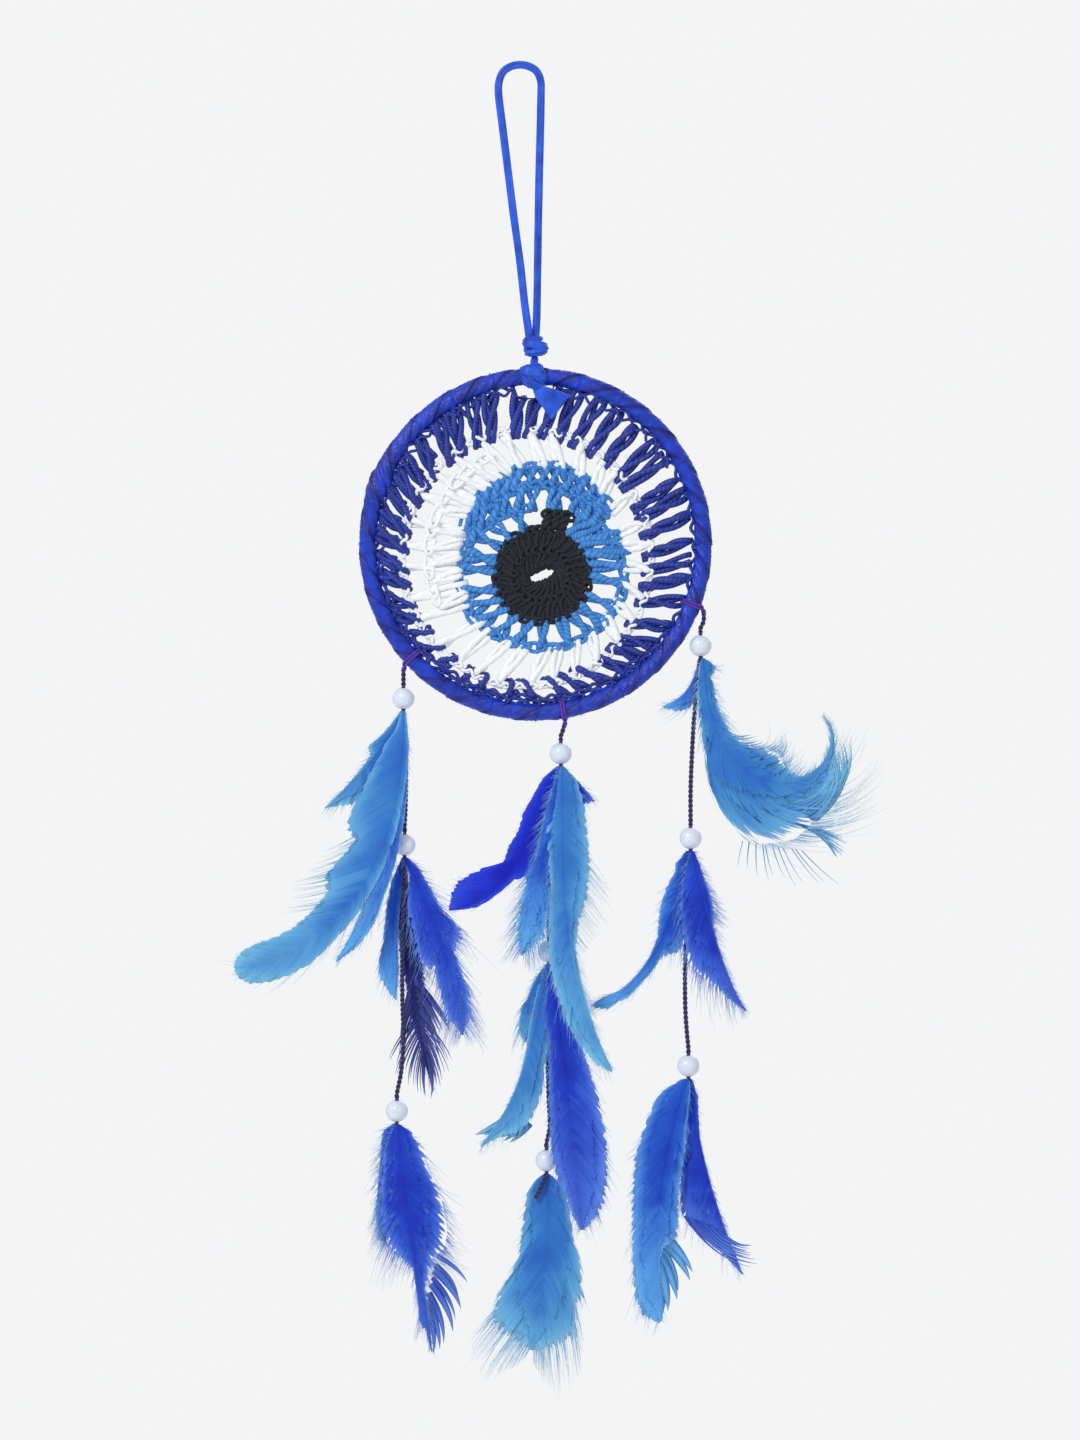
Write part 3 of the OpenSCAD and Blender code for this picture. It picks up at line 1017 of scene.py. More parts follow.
        marks = {name: value + 0 * t for name, value in zip(MARKS, values)}
        strip = np.array([[-0.5, 0.0], [0.5, 0.0], [0.0, 1.0]])
        size = breadth[..., None]
        return sweep(paths, wide * size, deep * size * 0.55, strip, marks=marks)

    def build(self) -> bpy.types.Object:
        """Makes the feather: vane, shaft, loose hairs and locks in one piece."""
        rng = np.random.default_rng(self.seed)
        _, _, fringe, number, _, _, layers = self.vane.value
        solids = [self.web(layer, rng) for layer in range(layers)]
        s = np.linspace(0, 0.93, 40)
        points, _, _, front = self.shaft(s)
        radius = (self.quill * (1 - 0.85 * s) + 0.05)[None]
        marks = {name: value + 0 * s[None] for name, value in zip(MARKS, (0, s, 0.5, 0.5, 0, 0))}
        points = points + front * (LAYER_STEP * (layers - 1))
        solids.append(tubes(points[None], radius, 6, marks=marks))
        count = int(self.length * number)
        for side in (-1, 1):
            place = np.sort(rng.random(count)) * 0.97 + 0.004
            solids.append(self.hairs(side, place, rng.exponential(fringe, count), rng))
        for side, low, high, length, count in self.wisps:
            place = np.sort(rng.uniform(low, high, count))
            beyond = length * rng.uniform(0.35, 1.0, count)
            solids.append(self.hairs(side, place, beyond, rng))
        solids += [fan.solid(self.depth, rng) for fan in self.fans]
        piece = Solid.joined(solids).piece(self.name + "_barbs")
        piece.data.materials.append(self.dye.material())
        return piece


# ---------------------------------------------------------------- sub-assemblies


def settle(
    piece: bpy.types.Object,
    body: str,
    slot: str,
    *nodes: str,
    surface: bpy.types.Material | None = None,
) -> bpy.types.Object:
    """Rides a finished piece on its body and hides the solid nodes that it replaces.

    Args:
        piece: The piece.
        body: The body that it moves with.
        slot: The record's material slot; not used.
        *nodes: The solid nodes that it replaces.
        surface: Its material, if it has none yet.

    Returns:
        The piece.
    """
    if surface is not None:
        piece.data.materials.append(surface)
    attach(piece, body)
    if nodes:
        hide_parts(*nodes)
    faces = len(piece.data.polygons)
    LOG.info("%s rides on %s, %d faces", piece.name, body, faces)
    return piece


@dataclass
class Studio:
    """Pale floor, soft light from the upper left, and the camera."""

    centre: tuple[float, float, float] = (0.00905, 0.0, -0.2978)
    view_height: float = 0.6545
    distance: float = 2.4
    sensor: float = 36.0
    floor_z: float = -1.2
    floor_r: float = 4.0

    def floor(self) -> None:
        """A pale round floor that isn't part of the hanging."""
        rim = disc(64) * self.floor_r
        mesh = bpy.data.meshes.new("floor")
        mesh.from_pydata([(x, y, self.floor_z) for x, y in rim.tolist()], [], [range(64)])
        obj = bpy.data.objects.new("floor", mesh)
        bpy.context.scene.collection.objects.link(obj)
        s = Surface("floor_paint")
        cloud = s.noise(3.0, 2.0)
        s.set(Base_Color=s.mix(cloud, srgb(248, 248, 249), srgb(252, 252, 252)), Roughness=0.9)
        mesh.materials.append(s.material)

    def lamp(self, name: str, at: tuple[float, float, float], size: float, watts: float) -> None:
        """An area light that looks at the hanging's middle."""
        data = bpy.data.lights.new(name, "AREA")
        data.shape, data.size, data.energy = "DISK", size, watts
        lamp = bpy.data.objects.new(name, data)
        lamp.location = at
        toward = np.array(self.centre) - np.array(at)
        lamp.rotation_mode = "QUATERNION"
        lamp.rotation_quaternion = Vector(toward).to_track_quat("-Z", "Y")
        bpy.context.scene.collection.objects.link(lamp)

    def build(self) -> None:
        """Sets the camera, the floor, the lamps and the pale surroundings."""
        scene = bpy.context.scene
        data = bpy.data.cameras.new("camera")
        data.sensor_width = self.sensor
        data.lens = self.sensor * self.distance / self.view_height
        data.clip_end = 50.0
        camera = bpy.data.objects.new("camera", data)
        camera.location = (self.centre[0], -self.distance, self.centre[2])
        camera.rotation_euler = (math.pi / 2, 0, 0)
        scene.collection.objects.link(camera)
        scene.camera = camera
        self.floor()
        self.lamp("key", (-1.1, -1.7, 0.9), 0.5, 24.0)
        self.lamp("fill", (1.6, -2.2, -0.2), 1.6, 2.0)
        self.lamp("back", (0.5, 1.6, 0.6), 1.4, 5.0)
        world = bpy.data.worlds.new("pale_room")
        world.use_nodes = True
        nodes, links = world.node_tree.nodes, world.node_tree.links
        room = nodes["Background"]
        room.inputs[0].default_value = (0.95, 0.97, 1.0, 1)
        room.inputs[1].default_value = 0.62
        white = nodes.new("ShaderNodeBackground")
        white.inputs[0].default_value = (0.9, 0.905, 0.915, 1)
        seen = nodes.new("ShaderNodeLightPath")
        either = nodes.new("ShaderNodeMixShader")
        links.new(seen.outputs["Is Camera Ray"], either.inputs[0])
        links.new(room.outputs[0], either.inputs[1])
        links.new(white.outputs[0], either.inputs[2])
        links.new(either.outputs[0], nodes["World Output"].inputs[0])
        scene.world = world
        scene.view_settings.view_transform = "Standard"


@dataclass
class HangingRibbon:
    """The folded satin ribbon: loop, upper knot, neck, lower knot and tails."""

    width: float = 3.6
    thick: float = 2.2
    route: tuple[tuple[float, float, float], ...] = (
        (4.2, -1, -124), (3.4, -1, -118), (2, -0.6, -108), (0, 0, -90), (-3, 0, -68),
        (-5.5, 0, -48), (-8, 0, -28), (-9.8, 0, -13), (-9.4, 0, -7), (-7.5, 0, -3),
        (-4, 0, -0.7), (0, 0, 0), (4, 0, -0.7), (7.5, 0, -3), (9.4, 0, -7.5),
        (9.5, 0, -14), (9.2, 0, -30), (8.7, 0, -50), (8.3, 0, -70), (8, 0.4, -90),
        (7.7, 1, -108), (7.4, 1.2, -118), (7, 1.2, -124),
    )

    def folded(self, steps: int) -> Array:
        """Profile of the folded ribbon: a flat oval with a groove down its front.

        Args:
            steps: Rings along the ribbon, along which the groove wanders.

        Returns:
            Profile points, (steps, 28, 2).
        """
        a = circle(28)
        x, y = blunt(a, 0.75), np.sin(a)
        u = np.linspace(0, 1, steps)[:, None]
        groove = 0.35 * np.sin(14 * u + 1.0) - 0.1
        dent = 0.55 * np.exp(-(((x - groove) / 0.16) ** 2)) * (y > 0)
        crease = 0.06 * np.sin(60 * u + 3 * a)
        return np.stack([x + 0 * u, y - dent + crease], axis=-1)

    def loop(self) -> bpy.types.Object:
        """The loop: the folded profile carried along the route, turning a little."""
        steps = 300
        path = spline(np.array(self.route, float), steps)[None]
        along = tangents(path)
        deep = carried_normals(along, FRONT)
        wide = np.cross(deep, along)
        roll = 0.35 * np.sin(np.linspace(0, 9, steps))[None, :, None]
        rolled_deep = deep * np.cos(roll) + wide * np.sin(roll)
        rolled_wide = wide * np.cos(roll) - deep * np.sin(roll)
        solid = sweep(path, rolled_wide * self.width / 2, rolled_deep * self.thick / 2,
                      self.folded(steps))
        piece = solid.piece("ribbon_loop")
        settle(piece, "hanger", "satin_ribbon", "hanger_ribbon", surface=RIBBON.material())
        return piece

    @staticmethod
    def band(points: list[tuple[float, float, float]], width: float, thick: float,
             centre: tuple[float, float, float], seed: int) -> Solid:
        """A creased band of ribbon that lies round a knot's middle.

        Its face looks away from the middle, and sine creases run along it.

        Args:
            points: Where its middle goes, in millimetres.
            width: Width of the band.
            thick: Thickness of the band.
            centre: The knot's middle, which the band faces away from.
            seed: Picks the creases.

        Returns:
            The band.
        """
        steps = 70
        path = spline(np.array(points, float), steps)[None]
        along = tangents(path)
        out = unit(path - np.array(centre, float))
        deep = unit(out - np.sum(out * along, -1, keepdims=True) * along)
        wide = np.cross(deep, along)
        a = circle(36)
        x = blunt(a, 0.7)
        u = np.linspace(0, 1, steps)[:, None]
        phase = np.random.default_rng(seed).uniform(0, 6, 3)
        folds = 0.5 * np.sin(7 * x + 2.5 * u + phase[0]) + 0.3 * np.sin(13 * x - 3 * u + phase[1])
        y = np.sin(a) * (1 + 0.55 * folds * (np.sin(a) > 0)) - 0.35 * x**2
        pinch = 0.7 + 0.3 * np.sin(np.pi * u) ** 0.6
        profile = np.stack([x * pinch, y + 0 * u], axis=-1)
        return sweep(path, wide * width / 2, deep * thick / 2, profile)

    def upper_knot(self) -> bpy.types.Object:
        """The upper knot: a round core under three crossing bands."""
        c = (6.8, 0.0, -128.5)
        core = self.band(
            [(3.2, 0, -123.8), (5.2, -0.4, -126.5), (7.2, 0, -129), (7.4, 0.2, -132.4)],
            7.5, 6.5, (5, 9, -128), 3)
        main = self.band(
            [(2.2, 1.4, -126.4), (2.6, -3.0, -126.2), (6.2, -4.9, -127.2),
             (10.4, -3.4, -128.4), (11.8, 0.5, -129), (9, 3.8, -129),
             (4.5, 3.8, -127.6), (2.2, 1.4, -126.4)], 4.8, 2.0, c, 4)
        lower = self.band(
            [(3.0, 0.5, -131.2), (4.6, -3.4, -131.4), (8.2, -4.1, -130.9),
             (11.0, -1.2, -130.2), (9.6, 2.6, -130.6), (5, 3.2, -131.3),
             (3.0, 0.5, -131.2)], 3.8, 1.8, c, 5)
        strap = self.band(
            [(9.6, 1.2, -124.2), (8.6, -2.8, -124.4), (5.4, -4.0, -125.0),
             (3.0, -2.6, -127.6), (2.4, 0.4, -130)], 3.0, 1.6, c, 6)
        piece = Solid.joined([core, main, lower, strap]).piece("ribbon_upper_knot")
        return settle(piece, "hanger", "satin_ribbon", "upper_knot", surface=RIBBON.material())

    def neck(self) -> bpy.types.Object:
        """The neck: a short gathered length between the knots."""
        solid = self.band(
            [(6.9, 0, -132.6), (6.6, -0.2, -134.2), (6.3, 0, -135.6), (6.2, 0, -137.4)],
            3.6, 2.4, (6.3, 20, -135), 8)
        piece = solid.piece("ribbon_neck")
        return settle(piece, "neck", "satin_ribbon", "neck_ribbon", surface=RIBBON.material())

    def lower_knot(self) -> bpy.types.Object:
        """The lower knot: turns round the hoop's tube and a bulging front."""
        tube = HOOP_TOP
        turns = []
        for shift, seed in ((-1.9, 11), (1.9, 12)):
            a = np.linspace(0, 2 * np.pi, 14)
            ring = [(6 + shift + 0.5 * math.sin(v), -4.7 * math.sin(v), -141.7 + 4.7 * math.cos(v))
                    for v in a]
            turns.append(self.band(ring, 4.6, 1.1, tube, seed))
        bulge = self.band(
            [(0.9, -4.6, -139.4), (3.0, -6.6, -139.2), (6.6, -7.2, -140.4),
             (9.8, -6.2, -142.2), (11.0, -4.4, -143.6)], 6.6, 3.0, tube, 13)
        cross = self.band(
            [(2.0, -4.4, -145.2), (3.4, -6.4, -143.6), (6.4, -7.6, -141.6),
             (8.8, -6.6, -138.6), (8.4, -3.6, -136.9)], 4.4, 2.4, tube, 14)
        tuck = self.band(
            [(1.2, -4.6, -142.4), (3.4, -6.2, -144.6), (6.4, -6.4, -146.2),
             (9.2, -5.2, -146.8)], 4.6, 2.4, tube, 15)
        piece = Solid.joined([*turns, bulge, cross, tuck]).piece("ribbon_lower_knot")
        return settle(piece, "lower_knot", "satin_ribbon", "hoop_knot", surface=RIBBON.material())

    def tails(self) -> bpy.types.Object:
        """The tail: the ribbon's cut end, opening into a creased fan."""
        steps = 60
        path = spline(np.array(
            [(7.2, -5.6, -146.4), (10.0, -6.2, -149.6), (14.0, -5.8, -152.6), (18.6, -5.2, -156.0)],
            float), steps)[None]
        u = np.linspace(0, 1, steps)
        along = tangents(path)
        deep = carried_normals(along, FRONT)
        wide = np.cross(deep, along)
        half = (1.8 + 5.2 * u**0.8)[None, :, None]
        a = circle(40)
        x = blunt(a, 0.6)
        wave = 0.9 * np.sin(5.0 * x + 3 * u[:, None]) * u[:, None] + 0.5 * np.sin(9 * x) * 0.4
        y = 0.28 * np.sin(a) + wave
        profile = np.stack([x + 0 * y, y], axis=-1)
        solid = sweep(path, wide * half, deep, profile)
        piece = solid.piece("ribbon_tail")
        return settle(piece, "eye", "satin_ribbon", "knot_tails", surface=RIBBON.material())

    def build(self) -> None:
        """Makes every part of the hanging ribbon."""
        self.loop()
        self.upper_knot()
        self.neck()
        self.lower_knot()
        self.tails()


def on_hoop(angle: Array, radius: Array, y: Array) -> Array:
    """Points at angles round the hoop's middle, at a radius and a depth."""
    return np.stack(
        [EYE[0] + radius * np.cos(angle), EYE[1] + y, EYE[2] + radius * np.sin(angle)], axis=-1
    )


@dataclass
class Hoop:
    """The wire ring and the satin ribbon wound round it."""

    wrap_r: float = 3.7
    turns: int = 15
    starts: int = 2
    step: float = 0.7

    def wrap(self) -> bpy.types.Object:
        """The wrap: a ring whose surface climbs along each turn of ribbon.

        At angle a round the hoop and b round its tube, the turn's phase is
        turns * a + b. The radius climbs by step over a turn and drops at its edge,
        with sine creases along the ribbon, and swells where the ends are tucked in.
        """
        around, about = 1200, 40
        grid_a, grid_b = np.meshgrid(circle(around), circle(about), indexing="ij")
        phase = self.starts * (self.turns * grid_a + grid_b) / (2 * np.pi)
        wander = 0.10 * np.sin(3 * grid_a + 1) + 0.06 * np.sin(7 * grid_a)
        part = (phase + wander) % 1
        index = np.floor(phase + wander)
        climb = smooth(0.0, 0.07, part) * (1.0 - 0.75 * part**0.8) - 0.25 * smooth(0.93, 1.0, part)
        creases = 0.20 * np.sin(2 * np.pi * 3.1 * part + 2.4 * index + 9 * grid_a)
        creases += 0.13 * np.sin(2 * np.pi * 7.3 * part + 1.1 * index + 17 * grid_a)
        swell = np.exp(-(((grid_a - 2.76) / 0.12) ** 2))
        crumple = np.sin(46 * grid_a + 2 * grid_b) * np.sin(3 * grid_b + 31 * grid_a)
        radius = self.wrap_r - 0.28 + self.step * climb + creases * 0.7
        radius = radius + swell * (1.1 + 0.5 * crumple)
        outward = np.cos(grid_b) * radius
        depth = np.sin(grid_b) * radius
        points = on_hoop(grid_a, TUBE_R + outward, depth)
        j, k = np.meshgrid(np.arange(around), np.arange(about), indexing="ij")
        j2, k2 = (j + 1) % around, (k + 1) % about
        corners = np.stack([j * about + k, j * about + k2, j2 * about + k2, j2 * about + k], -1)
        length = 2 * np.pi * TUBE_R / around
        u = np.stack([j * length, j * length, (j + 1) * length, (j + 1) * length], -1)
        v = np.stack([k, k + 1, k + 1, k], -1) / about
        # Painted shade: the colour goes deeper just past each turn's edge and again before the next
        # one, where the turns of ribbon overlap.
        shade = 1 - smooth(0.0, 0.2, part) + 0.6 * smooth(0.82, 1.0, part)
        solid = Solid(
            points.reshape(-1, 3), corners.reshape(-1), np.full(around * about, 4),
            np.stack([u, v], -1).reshape(-1, 2), {"shade": shade.reshape(-1)})
        piece = solid.piece("hoop_ribbon_wrap")
        return settle(piece, "eye", "satin_ribbon", "hoop_wrap", surface=SATIN.material())

    def build(self) -> None:
        """Makes the wrap and finishes the wire inside it."""
        self.wrap()
        core = frame["nodes"]["hoop_core"]
        core.data.materials.clear()
        core.data.materials.append(Wire().material())


@dataclass(frozen=True)
class Oval:
    """An oval about the hoop's middle: its own middle, half sizes and turn."""

    x: float
    z: float
    half_x: float
    half_z: float
    turn: float = 0.0

    def at(self, angle: Array) -> Array:
        """Points of the oval at angles, (..., 2)."""
        cos, sin = math.cos(math.radians(self.turn)), math.sin(math.radians(self.turn))
        a, b = self.half_x * np.cos(angle), self.half_z * np.sin(angle)
        return np.stack([self.x + a * cos - b * sin, self.z + a * sin + b * cos], -1)

    def direction(self, angle: Array) -> Array:
        """Unit vectors along the oval's edge at angles, (..., 2)."""
        return unit(self.at(angle + 0.01) - self.at(angle - 0.01))


def in_plane(flat: Array, y: Array) -> Array:
    """Turns points about the hoop's middle, and depths, into points in space."""
    y = np.broadcast_to(y, flat.shape[:-1])
    return np.stack([EYE[0] + flat[..., 0], EYE[1] + y, EYE[2] + flat[..., 1]], axis=-1)


def spread_angles(count: int, span: tuple[float, float], rng: np.random.Generator) -> Array:
    """Angles of stitches over a span in degrees, with a little unevenness, in radians."""
    pitch = (span[1] - span[0]) / count
    at = span[0] + (np.arange(count) + 0.5 + rng.normal(0, 0.13, count)) * pitch
    return np.radians(at)


@dataclass(frozen=True)
class Posts:
    """A row of posts between two ovals, each a few strands twisted together.

    Strand m of a post lies at A cos(turn) to the side and A sin(turn) in front of the
    post's middle, where turn grows by the twist from end to end. The strands splay at
    the outer end, and both ends dip behind the edges that they are worked into.
    """

    inner: Oval
    outer: Oval
    count: int
    strands: int
    radius: float
    splay: float = 0.0
    twist: float = 1.0
    span: tuple[float, float] = (0.0, 360.0)
    start: float = -0.1
    stop: float = 1.02
    lean: float = 0.0
    lift: float = 0.0

    def solid(self, rng: np.random.Generator) -> Solid:
        """Makes the row.

        Args:
            rng: The source of its unevenness.

        Returns:
            All strands as one solid.
        """
        steps = 20
        angle = spread_angles(self.count, self.span, rng)[:, None]
        t = np.linspace(0, 1, steps)[None]
        stop = self.stop + rng.normal(0, 0.03, angle.shape)
        part = (self.start + (stop - self.start) * t)[..., None]
        middle = self.inner.at(angle) * (1 - part) + self.outer.at(angle) * part
        across = self.outer.direction(angle)
        twist = np.pi * (self.twist + rng.normal(0, 0.25, angle.shape))
        begin = rng.normal(0, 0.35, angle.shape)
        lean = self.lean + rng.normal(0, 0.8, angle.shape)
        gauge = 1 + 0.1 * np.clip(rng.normal(0, 1, angle.shape), -1.5, 1.5)
        orbit = self.radius * (0.62 + 0.16 * self.strands)
        solids = []
        for m in range(self.strands):
            turn = begin + twist * t + m * 2 * np.pi / self.strands
            fan = (m - (self.strands - 1) / 2) * self.splay * smooth(0.35, 1.0, t)
            full = 0.72 + 0.28 * np.sin(np.pi * t) ** 0.6
            aside = orbit * np.cos(turn) * full + fan + lean * (t - 0.5)
            front = orbit * np.sin(turn) * full * 0.8 + self.lift
            dip = 1.7 * (np.exp(-((t / 0.09) ** 2)) + np.exp(-(((1 - t) / 0.09) ** 2)))
            path = in_plane(middle + across * aside[..., None], dip - front)
            thick = self.radius * gauge * (0.9 + 0.1 * np.sin(9 * t + 2 * m))
            solids.append(tubes(path, thick, 8))
        return Solid.joined(solids)


@dataclass(frozen=True)
class Chain:
    """A row of chain stitches along an oval.

    Link j is a ring about a stitch and a half long: along the oval by its length times
    cos(u), across it by its height times sin(u). Its leading end lies in front.
    """

    edge: Oval
    count: int
    radius: float
    height: float
    span: tuple[float, float] = (0.0, 360.0)
    lift: float = 0.0

    def solid(self, rng: np.random.Generator) -> Solid:
        """Makes the row.

        Args:
            rng: The source of its unevenness.

        Returns:
            All links as one solid.
        """
        u = circle(18)[None]
        middle = spread_angles(self.count, self.span, rng)[:, None]
        pitch = math.radians((self.span[1] - self.span[0]) / self.count)
        angle = middle + 0.7 * pitch * np.cos(u)
        along = self.edge.direction(middle)
        outward = np.stack([along[..., 1], -along[..., 0]], -1)
        rise = self.height * (1 + 0.15 * rng.normal(0, 1, middle.shape)) * np.sin(u)
        rise = rise + 0.25 * rng.normal(0, 1, middle.shape)
        y = -self.radius * 1.1 * np.cos(u) - self.lift
        path = in_plane(self.edge.at(angle) + outward * rise[..., None], y)
        return tubes(path, self.radius, 7, closed=True)


@dataclass(frozen=True)
class Strand:
    """One strand that runs along an oval, in and out of the stitches."""

    edge: Oval
    radius: float
    wave: float
    waves: int
    span: tuple[float, float] = (0.0, 360.0)
    lift: float = 0.0

    def solid(self, rng: np.random.Generator) -> Solid:
        """Makes the strand: its depth and place across are sines of its angle.

        Args:
            rng: The source of its unevenness.

        Returns:
            The strand.
        """
        steps = self.waves * 8
        t = np.linspace(0, 1, steps)[None]
        angle = np.radians(self.span[0] + (self.span[1] - self.span[0]) * t)
        along = self.edge.direction(angle)
        outward = np.stack([along[..., 1], -along[..., 0]], -1)
        phase = 2 * np.pi * self.waves * t + rng.uniform(0, 6)
        aside = self.wave * np.sin(phase) + 0.3 * np.sin(phase * 0.37)
        path = in_plane(self.edge.at(angle) + outward * aside[..., None],
                        0.8 * np.cos(phase * 0.5) - self.lift)
        return tubes(path, self.radius, 7)


@dataclass(frozen=True)
class Backing:
    """The tight ground behind dense stitches: a slab between two ovals."""

    inner: Oval
    outer: Oval
    front: float
    back: float

    def solid(self, _: np.random.Generator) -> Solid:
        """Makes the slab as a closed ring with a rounded, uneven front."""
        angle = circle(96)
        a, b = self.inner.at(angle), self.outer.at(angle)
        middle = in_plane((a + b) / 2, (self.front + self.back) / 2)
        half = in_plane(b, 0.0) - in_plane(a, 0.0)
        ripple = 1 + 0.04 * np.sin(17 * angle)[:, None]
        deep = np.broadcast_to(FRONT * (self.back - self.front) / 2, middle.shape) * ripple
        return sweep(middle[None], half[None] / 2, deep[None], disc(16)[::-1], closed=True)


@dataclass(frozen=True)
class Hollow:
    """Room for a knot that turns: yarn is pressed out of a cylinder along x.

    A point at distance d from the cylinder's middle moves out to d + 0.85 (radius - d).
    """

    middle: tuple[float, float, float]
    radius: float
    span: tuple[float, float]

    def cleared(self, points: Array) -> Array:
        """Presses points out of the cylinder.

        Args:
            points: Any points, (n, 3), in millimetres.

        Returns:
            The points, with those inside moved out.
        """
        away = (points - np.array(self.middle)) * (0.0, 1.0, 1.0)
        far = np.linalg.norm(away, axis=-1, keepdims=True)
        x = points[..., :1]
        share = smooth(self.span[0] - 2.5, self.span[0], x)
        share = share * (1 - smooth(self.span[1], self.span[1] + 2.5, x))
        push = 0.85 * share * np.maximum(0.0, self.radius - far)
        return points + away / np.maximum(far, 1e-6) * push


@dataclass
class Round:
    """One colour of the crochet: its rows, in one yarn."""

    name: str
    slot: str
    yarn: Yarn
    rows: tuple[Posts | Chain | Strand | Backing, ...]
    seed: int
    hollow: Hollow | None = None

    def build(self) -> bpy.types.Object:
        """Makes the round as one piece of yarn."""
        rng = np.random.default_rng(self.seed)
        solid = Solid.joined([row.solid(rng) for row in self.rows])
        if self.hollow:
            solid.points = self.hollow.cleared(solid.points)
        piece = solid.piece(self.name + "_yarn")
        return settle(piece, "eye", self.slot, self.name, surface=self.yarn.material())


@dataclass
class Crochet:
    """The eye: pupil, iris, white and dark blue rounds, and the lacing."""

    hub: Oval = Oval(3, -14, 7.6, 4.2, 20)
    middle: Oval = Oval(3, -14, 13, 12)
    pupil: Oval = Oval(3, -14, 21, 21)
    column_foot: Oval = Oval(6.5, -16, 21, 24)
    column_top: Oval = Oval(7.5, -16, 25, 30)
    low_iris: Oval = Oval(3, -15, 37.5, 32)
    mid_iris: Oval = Oval(3, -10.5, 38, 37.5)
    iris: Oval = Oval(3, -6, 38, 42)
    white: Oval = Oval(-4, -6, 56.5, 58.5)
    rim: Oval = Oval(0, 0, 72.2, 72.2)
    low_rim: Oval = Oval(0, -1.8, 69.0, 67.6)

    def pupil_rows(self) -> tuple[Posts | Chain | Backing, ...]:
        """Two tight rows round the slit, and the short column above them."""
        return (
            Backing(Oval(3, -14, 6.4, 3.0, 20), self.pupil, -0.6, 1.4),
            Posts(self.hub, self.middle, 24, 2, 1.05, twist=0.9, start=-0.22, stop=1.1),
            Chain(self.middle, 24, 0.85, 1.7, lift=0.9),
            Posts(self.middle, self.pupil, 34, 2, 1.1, twist=1.1, start=-0.1, stop=1.05),
            Chain(self.pupil, 36, 0.95, 1.5),
            Posts(self.column_foot, self.column_top, 3, 3, 1.25, twist=1.6,
                  span=(70.0, 98.0), start=-0.1, stop=1.0, lift=0.5),
            Chain(self.column_top, 3, 1.0, 1.5, span=(68.0, 98.0), lift=0.6),
        )

    def iris_rows(self) -> tuple[Posts | Chain, ...]:
        """A row of posts all round, and two short rows that heap up above them."""
        return (
            Posts(self.pupil, self.low_iris, 20, 2, 1.75, 1.5, 0.9, (104.0, 424.0), -0.02),
            Chain(self.low_iris, 32, 1.0, 1.7, (100.0, 420.0)),
            Posts(self.low_iris, self.mid_iris, 11, 2, 1.8, 1.8, 0.9, (44.0, 150.0), -0.15, 1.0),
            Chain(self.mid_iris, 12, 1.1, 1.9, (40.0, 150.0), 0.5),
            Posts(self.mid_iris, self.iris, 13, 2, 1.8, 2.0, 0.9, (40.0, 156.0), -0.1, 0.98),
            Posts(self.pupil, self.low_iris, 4, 2, 1.7, 1.4, 1.2, (20.0, 64.0), -0.02, 1.3),
            Chain(self.iris, 15, 0.9, 1.6, (34.0, 160.0)),
        )

    def white_rows(self) -> tuple[Posts | Chain | Strand, ...]:
        """Pairs of posts that part outwards, under a thin knotty chain."""
        return (
            Posts(self.iris, self.white, 30, 2, 1.75, 3.0, 0.25, (0.0, 360.0), -0.1, 1.0),
            Posts(self.iris, self.white, 10, 2, 1.5, 2.0, 0.4, (108.0, 208.0), -0.05, 0.55, 3.0,
                  1.6),
            Chain(Oval(-1, -6, 47.5, 51), 10, 0.9, 2.0, (115.0, 205.0), 1.4),
            Chain(self.white, 58, 0.7, 1.2),
            Strand(self.white, 0.75, 1.2, 60, lift=0.8),
        )

    def cobalt_rows(self) -> tuple[Posts | Chain | Strand, ...]:
        """Thick ropes hooked over the white chain, and chains along the hoop."""
        return (
            Posts(self.white, self.rim, 19, 3, 1.6, 1.5, 1.2, (62.0, 212.0), -0.2, 1.0),
            Posts(self.white, self.rim, 12, 2, 1.3, 1.5, 0.8, (105.0, 195.0), 0.25, 1.02, 4.0,
                  0.8),
            Posts(self.white, self.rim, 15, 3, 1.6, 1.2, 1.2, (-58.0, 62.0), -0.2, 0.96),
            Posts(self.white, self.low_rim, 10, 2, 1.6, 1.2, 0.8, (210.0, 302.0), -0.5, 1.0),
            Strand(self.rim, 0.85, 1.0, 54),
            Chain(self.rim, 24, 0.85, 1.5, (195.0, 325.0)),
            Strand(self.low_rim, 0.85, 0.7, 22, (200.0, 320.0), 0.6),
            Strand(Oval(0, 0, 70, 70), 0.75, 1.4, 26, (30.0, 200.0), 1.0),
        )

    def lacing(self) -> bpy.types.Object:
        """Thin thread turns round the hoop that hold the crochet's edge."""
        rng = np.random.default_rng(31)
        knot_place = 6
        places = [i for i in range(24) if i != knot_place]
        angle = np.radians(15.0 * np.array(places))[:, None]
        u = circle(22)[None]
        tilt = rng.normal(0, 0.012, angle.shape)
        a = angle + tilt * np.sin(u)
        path = on_hoop(a, TUBE_R + 4.2 * np.cos(u), 4.3 * np.sin(u) + 0 * a)
        side = np.stack([-np.sin(angle[:, 0]), 0 * angle[:, 0], np.cos(angle[:, 0])], -1)
        piece = side_tubes(path, side, 0.18).piece("lacing_turns")
        return settle(piece, "eye", "dark_blue_yarn", "lacing_thread", surface=SATIN.material())

